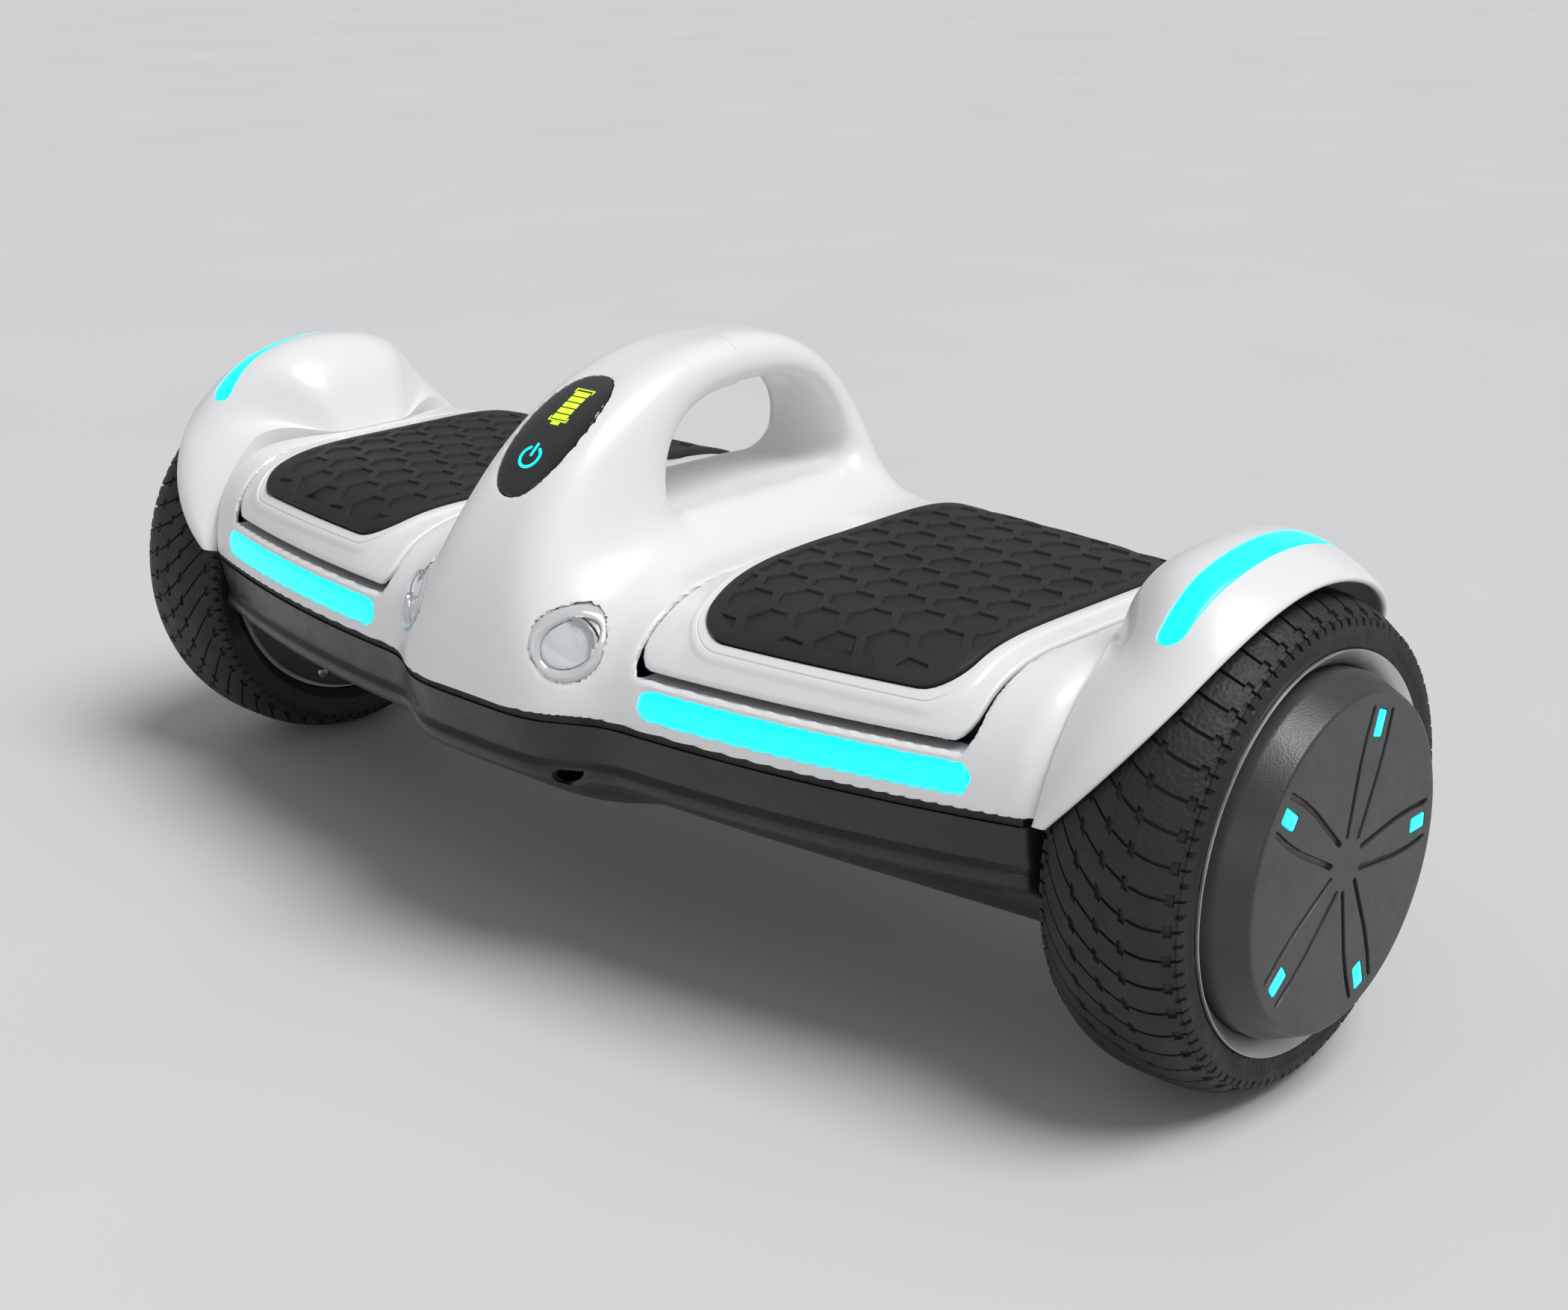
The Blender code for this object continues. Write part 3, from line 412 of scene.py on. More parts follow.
def relief_sheet(name, edge, groups, spacing, surface, bottom, sharp=35.0):
    """A closed sheet over a plan, whose top follows loops of given heights.

    edge and each of groups are lists of (loop, height), from the outermost loop inwards. surface turns arrays
    of plan coordinates and heights into points, and bottom is the height of the underside.
    """
    points, heights, links = [], [], []
    for loop, height in [*edge, *(pair for group in groups for pair in group)]:
        first = len(points)
        points.extend(loop)
        heights.extend(np.broadcast_to(height, len(loop)))
        links.extend((first + k, first + (k + 1) % len(loop)) for k in range(len(loop)))
    low, high = edge[0][0].min(0), edge[0][0].max(0)
    xs = np.arange(low[0] + spacing / 2, high[0], spacing)
    ys = np.arange(low[1] + spacing / 2, high[1], spacing * 0.87)
    grid = np.array([(x + spacing / 2 * (k % 2), y) for k, y in enumerate(ys) for x in xs]).reshape(-1, 2)
    grid = grid[inside_loop(grid, edge[-1][0])]
    level = np.full(len(grid), float(np.mean(edge[-1][1])))
    free = np.ones(len(grid), bool)
    for group in groups:
        within = inside_loop(grid, group[0][0])
        deep = inside_loop(grid, group[-1][0])
        free &= ~within | deep
        level = np.where(deep, np.mean(group[-1][1]), level)
    fixed = np.array(points)
    spread = np.abs(grid[:, None, :] - fixed[None, ::2, :]).max(2).min(1) if len(grid) else np.zeros(0)
    free &= spread > spacing * 0.3
    points = [Vector(p) for p in points] + [Vector(p) for p in grid[free]]
    heights = np.concatenate([heights, level[free]])
    flat, _, tris, source, _, _ = delaunay_2d_cdt(points, links, [], 0, 1e-7)
    plan = np.array([tuple(p) for p in flat])
    height = np.array([heights[s[0]] if s else 0.0 for s in source])
    tris = np.array(tris)
    tris = tris[inside_loop(plan[tris].mean(1), edge[0][0])]
    edges = np.concatenate([tris[:, [0, 1]], tris[:, [1, 2]], tris[:, [2, 0]]])
    count = len(plan)
    key = np.sort(edges, 1) @ (count, 1)
    _, first, uses = np.unique(key, return_index=True, return_counts=True)
    rim = edges[first[uses == 1]]
    top = surface(plan[:, 0], plan[:, 1], height)
    under = surface(plan[:, 0], plan[:, 1], np.full(count, bottom))
    faces = tris.tolist() + (tris[:, ::-1] + count).tolist()
    faces += [(b, a, a + count, b + count) for a, b in rim.tolist()]
    return clean(mesh_object(name, np.concatenate([top, under]), faces, sharp), sharp)


def clean(ob, sharp=30.0):
    """Drops loose points and makes every face look outward."""
    bm = bmesh.new()
    bm.from_mesh(ob.data)
    bmesh.ops.delete(bm, geom=[v for v in bm.verts if not v.link_faces], context="VERTS")
    bmesh.ops.recalc_face_normals(bm, faces=bm.faces)
    bm.to_mesh(ob.data)
    bm.free()
    ob.data.shade_smooth()
    ob.data.set_sharp_from_angle(angle=math.radians(sharp))
    return ob


def mirrored(ob, name):
    """The same piece on the board's left side."""
    made = bpy.data.objects.new(name, ob.data.copy())
    bpy.context.scene.collection.objects.link(made)
    made.data.transform(Matrix.Scale(-1, 4, (1, 0, 0)))
    made.data.flip_normals()
    return made


def install(ob, body, slot, *replaced):
    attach(ob, body)
    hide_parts(*replaced)
    return ob


# Foot plates and mats --------------------------------------------------------------------------


def deck_height(x, y):
    across = np.clip(np.abs(y) / half_depth(x), 0, 0.9995)
    return BASE_Z + DECK_RISE * (1 - across ** DECK_POWERS[0]) ** (1 / DECK_POWERS[1])


def on_deck(x, y, height):
    """Points at a height above the deck, measured square to it."""
    z = deck_height(x, y)
    step = 2e-4
    down_x = (deck_height(x + step, y) - deck_height(x - step, y)) / (2 * step)
    down_y = (deck_height(x, y + step) - deck_height(x, y - step)) / (2 * step)
    size = np.sqrt(1 + down_x**2 + down_y**2)
    return np.stack([x - down_x / size * height, y - down_y / size * height, z + height / size], 1)


def mat_field(x, y, grow=0.0):
    """Plan distance from a mat's outline, whose inner edge sweeps outward toward the front."""
    ahead = np.clip((0.004 - y) / 0.095, 0, 1.2)
    behind = np.clip((y - 0.004) / 0.057, 0, 1)
    inner = 0.0685 + 0.0195 * ahead**2.2 - 0.0030 * behind
    along = np.maximum(inner - x, x - MAT_OUT_X) - grow
    return round_corners(along, np.abs(y) - MAT_EDGE * half_depth(x) - grow, 0.012)


MAT_MIDDLE = np.array([0.128, 0.0])
MAT_TOP = 0.0023  # above the deck's surface
MAT_LEAST_CELL = 1.6e-5  # square metres: smaller pieces of a cell at the mat's edge are left out
PAD_TOP = 0.0009


def mat_loop(grow, count=200):
    return loop_where(lambda x, y: mat_field(x, y, grow), MAT_MIDDLE, count)


def plate_loop(grow, count=240):
    return loop_where(lambda x, y: plate_outline_field(x, y, grow), MAT_MIDDLE, count)


def make_plate(word):
    """A foot plate: rounded edge, a raised pad round the mat with a fine groove, and the mat's pocket."""
    edge = ((0.0, -0.0012), (0.0002, -0.0005), (0.0006, -0.00012), (0.0012, 0.0))
    pad = (
        (0.0064, 0.0), (0.0058, 0.0002), (0.0052, 0.0006), (0.0047, 0.0008), (0.0042, PAD_TOP),
        (0.0036, PAD_TOP), (0.0034, 0.0005), (0.0031, 0.0005), (0.0029, PAD_TOP), (0.0008, PAD_TOP),
        (0.0005, 0.0006), (0.00045, -0.0010),
    )
    edge = [(plate_loop(-d), h) for d, h in edge]
    pad = [(mat_loop(d), h) for d, h in pad]
    return relief_sheet(f"{word}_foot_plate", edge, [pad], 0.006, on_deck, -0.0022)


def hexagon_cells(spacing=0.0177, radius=0.0083):
    """Outlines of the mat's hollow cells on a honeycomb, points toward the wheels."""
    corners = [math.pi / 3 * k for k in range(6)]
    for column in range(-3, 6):
        x = 0.1088 + column * spacing * math.sqrt(0.75)
        for row in range(-6, 7):
            y = (row + (0.5 if column % 2 == 0 else 0.0)) * spacing
            yield np.array([(x + radius * math.cos(a), y + radius * math.sin(a)) for a in corners])


def make_mat(word):
    """A rubber mat with shallow hexagonal cells."""
    round_edge = ((0.0, MAT_TOP - 0.0006), (0.0002, MAT_TOP - 0.0002), (0.0006, MAT_TOP))
    edge = [(mat_loop(-d), h) for d, h in round_edge]
    groups = []
    for cell in hexagon_cells():
        cell = clip_to(cell, lambda x, y: mat_field(x, y, -0.0040))
        if len(cell) < 3:
            continue
        x, y = cell.T
        area = 0.5 * abs(np.sum(x * np.roll(y, -1) - y * np.roll(x, -1)))
        if area < MAT_LEAST_CELL:
            continue
        walls = ((0.0, MAT_TOP), (0.00012, MAT_TOP - 0.0002), (0.0004, MAT_TOP - 0.0010))
        groups.append([(inset(cell, d), h) for d, h in walls])
    return relief_sheet(f"{word}_grip_mat", edge, groups, 0.004, on_deck, -0.0008)


# Fenders --------------------------------------------------------------------------------------


FENDER_LOW = math.radians(14.0)
LIGHT_ENDS = (math.radians(56.0), math.radians(124.0))
LIGHT_HALF = 0.0047
LIGHT_R = 0.094  # about the light's distance from the axle line
BLADE_R = 0.0835  # where the blades start


def deck_radius(angle):
    """Distance from the axle line to the deck's end section, at an angle above the horizontal."""
    def section(r):
        return deck_field(SHELL_END_X, r * np.cos(angle), AXLE_Z + r * np.sin(angle))

    return zero_between(section, np.full_like(angle, 0.04), np.full_like(angle, 0.12))


def bent(points, s):
    """A Bezier curve through lists of coordinates, the first and last of which it reaches."""
    count = len(points) - 1
    return sum(math.comb(count, k) * (1 - s) ** (count - k) * s**k * p for k, p in enumerate(points))


def fender_curve(angle, s):
    """x and radius of the fender's outside at share s of the way from the deck to the rim.

    On top it is a smooth dome that rises from the deck. Toward the tips it starts at the shell's
    rounded end as a flat blade.
    """
    lift = np.minimum(angle, math.pi - angle)
    back = 1 - (lift - FENDER_LOW) / (math.pi / 2 - FENDER_LOW)
    dome = eased(lift, math.radians(44), math.radians(74))
    start_x = seam_x(lift) + GAP - 0.0020 * back**8
    start_r = BLADE_R - 0.0017 * back**8 + (deck_radius(lift) - GAP - BLADE_R) * dome
    rim_x = 0.270 - 0.044 * back**2.83
    rim_r = 0.0907 - 0.0065 * back**8
    reach = rim_x - start_x
    bump = 0.0370 * (1 - back**2) * dome + 0.0040 * (1 - back**4) * (1 - dome)
    first_x = start_x + (0.33 - 0.303 * dome) * reach
    first_r = start_r - 0.0099 * dome + (0.0035 + (rim_r - start_r) / 3) * (1 - dome)
    x = bent((start_x, first_x, start_x + (0.66 - 0.458 * dome) * reach, rim_x), s)
    r = bent((start_r, first_r, rim_r + bump, rim_r), s)
    return x, r


def fender_normal(angle, s):
    """The fender's outside at many shares of one angle, and the directions along it and out of it."""
    angles = np.full(len(s), angle)
    outer = np.stack(fender_curve(angles, s), 1)
    along = np.stack(fender_curve(angles, s + 1e-4), 1) - outer
    along /= np.linalg.norm(along, axis=1, keepdims=True)
    return outer, along, np.stack([-along[:, 1], along[:, 0]], 1)


def fender_ring(angle, columns, wall=0.0026):
    """Closed section of the fender at one angle: outside, rolled rim, inside, edge behind the deck."""
    outer, along, normal = fender_normal(angle, np.array(columns))
    inner = outer - normal * wall
    inner[:, 0] = np.maximum(inner[:, 0], outer[0, 0])
    tuck = wall + 0.0065 * eased(min(angle, math.pi - angle), math.radians(36), math.radians(50))
    inner[0] = outer[0] - (0, tuck)
    inner[1] = outer[0] + (0.0018, -tuck)
    tip = outer[-1:] - normal[-1] * wall / 2
    rim = []
    for turn in (0.6, 1.1, 1.57, 2.04, 2.54):
        rim.append(tip + (along[-1] * math.sin(turn) + normal[-1] * math.cos(turn)) * wall / 2)
    return np.vstack([outer, *rim, inner[::-1]])


def turn_ring(ring, angle):
    """Places (x, radius) points at an angle, or an angle for each, round the axle line from the front."""
    return np.stack([ring[:, 0], -ring[:, 1] * np.cos(angle), AXLE_Z + ring[:, 1] * np.sin(angle)], 1)


def skin_rings(name, rings, sharp=30.0, closed=False):
    """A closed skin through rings of equal point count, capped at its ends or closed into a hoop."""
    count, total = len(rings[0]), len(rings)
    faces = []
    for k in range(total if closed else total - 1):
        for i in range(count):
            j, m = (i + 1) % count, (k + 1) % total
            faces.append((k * count + i, k * count + j, m * count + j, m * count + i))
    if not closed:
        faces.append(tuple(range(count - 1, -1, -1)))
        faces.append(tuple(range((total - 1) * count, total * count)))
    return clean(mesh_object(name, np.concatenate(rings), faces, sharp), sharp)


def make_fender(word):
    columns = [*np.linspace(0, 0.05, 5), *np.linspace(0.08, 1.0, 38)]
    rings = []
    for angle in np.linspace(FENDER_LOW, math.pi - FENDER_LOW, 121):
        rings.append(turn_ring(fender_ring(angle, columns), angle))
    fender = skin_rings(f"{word}_wheel_fender", rings, 40.0)
    cut_with(fender, light_bar("slot", 0.00035, -0.0016, 0.006), "DIFFERENCE")
    return clean(fender, 40.0)


def light_bar(name, grow, low, high):
    """An arc-shaped bar with round ends, following the fender's outside between two heights."""
    half = LIGHT_HALF + grow
    first, last = LIGHT_ENDS[0] - grow / LIGHT_R, LIGHT_ENDS[1] + grow / LIGHT_R
    cap = half / LIGHT_R
    turn = np.linspace(math.pi / 2, 0, 9)
    angles = [first + cap - cap * math.sin(t) for t in turn]
    angles += list(np.linspace(first + cap, last - cap, 60)[1:-1])
    angles += [last - cap + cap * math.sin(t) for t in turn[::-1]]
    side = np.array([-1, -1, -0.93, -0.8, -0.4, 0, 0.4, 0.8, 0.93, 1, 1])
    lift = high - np.array([0, 0.0003, 0.0001, 0, 0, 0, 0, 0, 0.0001, 0.0003, 0])
    lift[[0, -1]] = low
    shares = np.linspace(0.2, 1.0, 301)
    rings = []
    for angle in angles:
        inward = max(first + cap - angle, angle - last + cap, 0.0) / cap
        middle = 0.2518 - 0.0190 * (1 - math.sin(angle))
        x = middle + side * half * max(math.sqrt(max(1 - inward**2, 0.0)), 0.04)
        s = np.interp(x, fender_curve(np.full(len(shares), angle), shares)[0], shares)
        point, _, normal = fender_normal(angle, s)
        rings.append(turn_ring(point + normal * lift[:, None], angle))
    return skin_rings(name, rings, 40.0)


def cut_with(ob, cutter, operation):
    step = ob.modifiers.new(operation.title(), "BOOLEAN")
    step.operation = operation
    step.object = cutter
    apply_modifiers(ob)
    bpy.data.objects.remove(cutter)
    return ob


# Wheels ---------------------------------------------------------------------------------------


def turned(name, profile, steps=160, sharp=30.0):
    """A closed profile of (x, radius) points turned round the axle line."""
    ring = np.array(profile, float)
    rings = [turn_ring(ring, 2 * math.pi * k / steps) for k in range(steps)]
    ob = skin_rings(name, rings, sharp, closed=True)
    bm = bmesh.new()
    bm.from_mesh(ob.data)
    bmesh.ops.remove_doubles(bm, verts=bm.verts, dist=1e-6)
    bm.to_mesh(ob.data)
    bm.free()
    return clean(ob, sharp)


def softened(profile, radius=0.0006):
    """A closed profile with each corner replaced by a short arc."""
    points = [Vector(p) for p in profile]
    made = []
    for k, here in enumerate(points):
        before, after = points[k - 1], points[(k + 1) % len(points)]
        if here.y < 1e-9:
            made.append(tuple(here))
            continue
        back, ahead = before - here, after - here
        cut = min(radius, back.length * 0.45, ahead.length * 0.45)
        start, end = here + back.normalized() * cut, here + ahead.normalized() * cut
        for t in (0.0, 0.33, 0.67, 1.0):
            made.append(tuple((1 - t) ** 2 * start + 2 * t * (1 - t) * here + t * t * end))
    return made


TREAD_PITCHES = 50
TREAD_ROWS = (0.2274, 0.2414, 0.2505, 0.2594, 0.2727)  # x of the rows of square notches
TREAD_DEPTH = 0.0011
SIPE, NOTCH, SLOT = 0.0050, 0.0245, 0.0105  # half widths of the carvings round the tyre, in radians
CARVE_SLOPE = 0.0025
CROWN_R, SHOULDER_R = 0.0757, 0.0752  # the long cuts, and all carving, stay outside these radii


def tyre_radius(x):
    return TYRE_R - 0.007 * (np.abs(x - TYRE_MID_X) / 0.025) ** 3.2


def sipe_turn(x):
    """How far the curved cuts across the tread have swept round at x, in radians."""
    return math.radians(11.5) * (np.clip(TREAD_ROWS[-1] - x, 0, 1) / 0.0328) ** 2.1


def band(value, low, high, slope):
    """1 between two limits, with straight sides of a given width just outside them."""
    return np.clip(np.minimum(value - low, high - value) / slope + 1, 0, 1)


def tread_lines(features, low, high, slope, spacing):
    """Grid lines that meet each feature's edges, filled in so that none are far apart."""
    lines = {low, high}
    for a, b in features:
        lines |= {v for v in (a - slope, a, b, b + slope) if low < v < high}
    lines = sorted(lines)
    full = []
    for a, b in zip(lines, lines[1:]):
        steps = max(1, int(math.ceil((b - a) / spacing)))
        full += [a + (b - a) * k / steps for k in range(steps)]
    return np.array(full + [lines[-1]])


def carved_depth(x, radius, turn, rows, wall):
    """How much of the tread's depth is carved away at points of the section, for a turn within one pitch."""
    half_pitch = math.pi / TREAD_PITCHES
    carve = band(turn, -SIPE, SIPE, CARVE_SLOPE) * (radius > CROWN_R)
    for low, high in rows:
        carve = np.maximum(carve, band(x, low, high, wall) * band(turn, -NOTCH, NOTCH, CARVE_SLOPE))
    beside = band(abs(turn), half_pitch - SLOT, half_pitch + SLOT, CARVE_SLOPE)
    carve = np.maximum(carve, beside * (np.abs(x - TYRE_MID_X) > 0.0240) * (radius > CROWN_R))
    return carve * TREAD_DEPTH * (radius > SHOULDER_R)


def make_tyre(word):
    """The carved tyre: swept cuts across the crown, rows of notches, and short slots on both shoulders."""
    wall, notch_half = 0.00022, 0.0009
    rows = [(x - notch_half, x + notch_half) for x in TREAD_ROWS]
    xs = tread_lines(rows, 0.2252, 0.2748, wall, 0.0022)
    crown = np.stack([xs, tyre_radius(xs)], 1)
    right = np.array([
        (0.27545, 0.0783), (0.2759, 0.0775), (0.27625, 0.0765), (0.2764, 0.0757), (0.27645, 0.0755),
        (0.27645, 0.0748), (0.2764, 0.0738), (0.2762, 0.0725), (0.27575, 0.0716), (0.2758, 0.0711),
        (0.2757, 0.0702), (0.2755, 0.0690), (0.2748, 0.0680), (0.2735, 0.0672),
    ])
    left = right[::-1] * (-1, 1) + (2 * TYRE_MID_X, 0)
    profile = np.vstack([left, crown, right, [(0.2710, 0.0645), (0.2290, 0.0645)]])
    pitch = 2 * math.pi / TREAD_PITCHES
    slots = [(side * pitch / 2 - SLOT, side * pitch / 2 + SLOT) for side in (-1, 1)]
    turns = []
    for features in ([(-SIPE, SIPE), (-NOTCH, NOTCH)], slots):
        turns.append(tread_lines(features, -pitch / 2, pitch / 2, CARVE_SLOPE, 0.012))
    turns = np.unique(np.round(np.concatenate(turns), 6))[:-1]
    ahead = np.roll(profile, -1, 0) - np.roll(profile, 1, 0)
    ahead /= np.linalg.norm(ahead, axis=1, keepdims=True)
    normal = np.stack([-ahead[:, 1], ahead[:, 0]], 1)
    x, radius = profile.T
    sweep = np.where(x < TREAD_ROWS[-1], sipe_turn(np.maximum(x, TREAD_ROWS[0])), 0.0)
    rings = []
    for k in range(TREAD_PITCHES):
        for turn in turns:
            ring = profile - normal * carved_depth(x, radius, turn, rows, wall)[:, None]
            rings.append(turn_ring(ring, turn + k * pitch + sweep))
    return skin_rings(f"{word}_tread_tyre", rings, 38.0, closed=True)


def make_rim(word):
    """Polished rim: an outer lip whose wall slopes in, and the barrel under the tyre."""
    profile = [
        (0.2290, 0.0580), (0.2290, 0.0640), (0.2722, 0.0640), (0.2740, 0.0672), (0.2752, 0.0681),
        (0.2767, 0.0680), (0.2716, 0.0627), (0.2704, 0.0619), (0.2690, 0.0612), (0.2690, 0.0580),
    ]
    return turned(f"{word}_wheel_rim", softened(profile, 0.0005))


def circle(radius, count=120):
    angle = np.linspace(0, 2 * math.pi, count + 1)[:-1]
    return radius * np.stack([np.cos(angle), np.sin(angle)], 1)


def spin(points, angle):
    c, s = math.cos(angle), math.sin(angle)
    return np.asarray(points) @ np.array([[c, s], [-s, c]])


def capsule(path, half, cap=5):
    """A thin closed loop, counter-clockwise, round a short path."""
    path = np.array(path, float)
    ahead = np.diff(path, axis=0)
    ahead /= np.linalg.norm(ahead, axis=1, keepdims=True)
    first, last = ahead[0], ahead[-1]
    normals = np.vstack([ahead[:1], (ahead[:-1] + ahead[1:]) / 2, ahead[-1:]]) @ np.array([[0, -1], [1, 0]])
    right, left = path + normals * half, path - normals * half
    ends = []
    for centre, way in ((path[-1], last), (path[0], -first)):
        start = math.atan2(way[1], way[0]) - math.pi / 2
        turn = start + math.pi * np.arange(1, cap) / cap
        ends.append(centre + half * np.stack([np.cos(turn), np.sin(turn)], 1))
    return np.vstack([right, ends[0], left[::-1], ends[1]])


def rounded_box(half_x, half_y, corner, steps=4):
    """A centred rectangle loop with round corners."""
    points = []
    for quarter in range(4):
        cx = (half_x - corner) * (1 if quarter in (0, 3) else -1)
        cy = (half_y - corner) * (1 if quarter in (0, 1) else -1)
        for k in range(steps + 1):
            angle = math.pi / 2 * (quarter + k / steps)
            points.append((cx + corner * math.cos(angle), cy + corner * math.sin(angle)))
    return np.array(points)


MARK_MIDDLE, MARK_HALF_LONG, MARK_HALF_WIDE = 0.0466, 0.0045, 0.0026
# Distance from the hub's centre, and from the spoke's middle line.
GROOVE = ((0.0090, 0.0038), (0.0200, 0.0052), (0.0320, 0.0067), (0.0420, 0.0070), (0.0512, 0.0064))


def mark_loop(k, grow):
    loop = rounded_box(MARK_HALF_LONG + grow, MARK_HALF_WIDE + grow, 0.0006 + max(grow, 0))
    return spin(loop + (MARK_MIDDLE, 0.0), 2 * math.pi * k / 5)


def on_hub(y, z, height):
    return np.stack([HUB_FACE_X + height + 0 * y, y, AXLE_Z + z], 1)


def make_hub_cover(word):
    """A flat disc on a cone, with pairs of grooves beside five light windows."""
    cone = (
        (0.0617, -0.0118), (0.06165, -0.0104), (0.0612, -0.0096), (0.0575, -0.0011),
        (0.0571, -0.0004), (0.0565, -0.00005), (0.0560, 0.0),
    )
    window = ((0.0004, 0.0), (0.0003, -0.0003), (0.0002, -0.0015))
    groove = ((0.00115, 0.0), (0.00100, -0.0003), (0.00090, -0.0014), (0.00045, -0.0016))
    groups = []
    for k in range(5):
        groups.append([(mark_loop(k, grow), h) for grow, h in window])
        for side in (-1, 1):
            path = [(r, side * w) for r, w in GROOVE]
            groups.append([(spin(capsule(path, half), 2 * math.pi * k / 5), h) for half, h in groove])
    edge = [(circle(r), h) for r, h in cone]
    return relief_sheet(f"{word}_hub_cap", edge, groups, 0.0035, on_hub, -0.0168)


def make_hub_marks(word):
    """Five light windows, as one piece of five pills."""
    pills = []
    for k in range(5):
        rings = []
        for grow, height in ((0.0, -0.0060), (0.0, -0.0004), (-0.0002, -0.0001), (-0.0006, 0.0)):
            loop = mark_loop(k, grow)
            rings.append(on_hub(loop[:, 0], loop[:, 1], height))
        pills.append(skin_rings("pill", rings, 40.0))
    return join(pills, f"{word}_hub_lights")


def join(pieces, name):
    """One object made of several."""
    bm = bmesh.new()
    for ob in pieces:
        bm.from_mesh(ob.data)
        bpy.data.objects.remove(ob)
    mesh = bpy.data.meshes.new(name)
    bm.to_mesh(mesh)
    bm.free()
    made = bpy.data.objects.new(name, mesh)
    bpy.context.scene.collection.objects.link(made)
    return clean(made, 35.0)


def aim(ob, place, direction):
    """Moves a piece that was turned round the axle line so that its X end points along a direction."""
    turn = Vector(direction).to_track_quat("X", "Z").to_matrix().to_4x4()
    ob.data.transform(Matrix.Translation(place) @ turn @ Matrix.Translation((0, 0, -AXLE_Z)))
    return ob


def block(name, low, high):
    """A box between two corners, as a cutter."""
    loop = np.array([(low[1], low[2]), (high[1], low[2]), (high[1], high[2]), (low[1], high[2])])
    return bar_along("X", name, loop, low[0], high[0])


def screw(radius, place, direction):
    """A pan-head screw with a cross recess."""
    r = radius
    head = np.array([(-0.4, 0), (-0.4, 1), (0.12, 1), (0.32, 0.86), (0.46, 0.5), (0.5, 0)])
    ob = turned("screw", head * r, 28, 50.0)
    for half_y, half_z in ((0.65 * r, 0.13 * r), (0.13 * r, 0.65 * r)):
        cross = block("cross", (0.12 * r, -half_y, AXLE_Z - half_z), (1.12 * r, half_y, AXLE_Z + half_z))
        cut_with(ob, cross, "DIFFERENCE")
    return aim(ob, place, direction)


def screws(name, radius, places, direction):
    first = screw(radius, (0, 0, 0), direction)
    made = []
    for place in places:
        twin = first.copy()
        twin.data = first.data.copy()
        bpy.context.scene.collection.objects.link(twin)
        twin.data.transform(Matrix.Translation(place))
        made.append(twin)
    bpy.data.objects.remove(first)
    return join(made, name)


def make_motor_cover(word):
    """The wheel's inner face: a stepped disc with a raised boss."""
    profile = [
        (0.2250, 0.0143), (0.2250, 0.0215), (0.2262, 0.0235), (0.2262, 0.0480), (0.2250, 0.0500),
        (0.2246, 0.0520), (0.2246, 0.0610), (0.2252, 0.0620), (0.2287, 0.0620), (0.2287, 0.0470),
        (0.2275, 0.0190), (0.2320, 0.0190), (0.2320, 0.0143),
    ]
    return turned(f"{word}_motor_face", softened(profile, 0.0007))


def make_motor_screws(word):
    ring = spin(circle(0.0566, 6), math.radians(244.3))
    places = [(0.2246, y, AXLE_Z + z) for y, z in ring]
    return screws(f"{word}_motor_screws", 0.0027, places, (-1, 0, 0))


# Lower shell ----------------------------------------------------------------------------------

LOWER_TOP_Z = 0.1021
BODY_END_X = 0.219
KEEL_Z, BELLY_Z = 0.054, 0.060
TABLE_X = np.linspace(0.0, 0.224, 113)


def edge_depth():
    """Half of the body's depth at the white shell's lower edge, for each x of the table."""
    level = np.full(len(TABLE_X), BASE_Z)
    near, far = np.full(len(TABLE_X), 0.05), np.full(len(TABLE_X), 0.14)
    return zero_between(lambda depth: body_field(TABLE_X, -depth, level), near, far)


EDGE_DEPTH = edge_depth()


def body_depth(x):
    return np.interp(np.abs(x), TABLE_X, EDGE_DEPTH)


def keel_height(x):
    return KEEL_Z + (BELLY_Z - KEEL_Z) * eased(np.abs(x), 0.025, 0.065)


# Height, and how far the casing is set in from its top edge there.
CASING_FACE = (
    (0.1021, 0.0), (0.0980, 0.0008), (0.0930, 0.0019), (0.0880, 0.0031), (0.0868, 0.0036),
    (0.0860, 0.0032), (0.0852, 0.0024), (0.0844, 0.0021), (0.0830, 0.0021), (0.0815, 0.0024),
    (0.0800, 0.0032), (0.0785, 0.0046), (0.0770, 0.0068), (0.0756, 0.0096), (0.0745, 0.0120),
)
FLAT_HALF_Y = 0.055


def casing_ring(x, shrink, top):
    """Section of the lower casing: faces with a rounded lip, curving in to a flat belly."""
    depth = float(body_depth(x)) - 0.001 - shrink
    floor, turn_z = keel_height(x) + shrink, CASING_FACE[-1][0]
    half = [(depth - set_in, top if k == 0 else z) for k, (z, set_in) in enumerate(CASING_FACE)]
    turn_y = half[-1][0]
    for t in np.linspace(1, 0, 13)[1:]:
        half.append((FLAT_HALF_Y + (turn_y - FLAT_HALF_Y) * t, floor + (turn_z - floor) * t * t))
    half += [(FLAT_HALF_Y * t, floor) for t in (0.8, 0.6, 0.4, 0.2)]
    front = [(x, -y, z) for y, z in half]
    rear = [(x, y, z) for y, z in half[::-1]]
    return np.array(front + [(x, 0.0, floor)] + rear)


def casing_solid(name, end_x, shrink, top, soften):
    inner = [(x, shrink) for x in np.linspace(-1, 1, 121) * (end_x - 3 * soften)]
    ends = [(end_x - 0.9 * soften, shrink + 0.9 * soften), (end_x, shrink + 3 * soften)] if soften else []
    stations = [(-x, d) for x, d in ends[::-1]] + inner + ends
    return skin_rings(name, [casing_ring(x, d, top) for x, d in stations], 35.0)


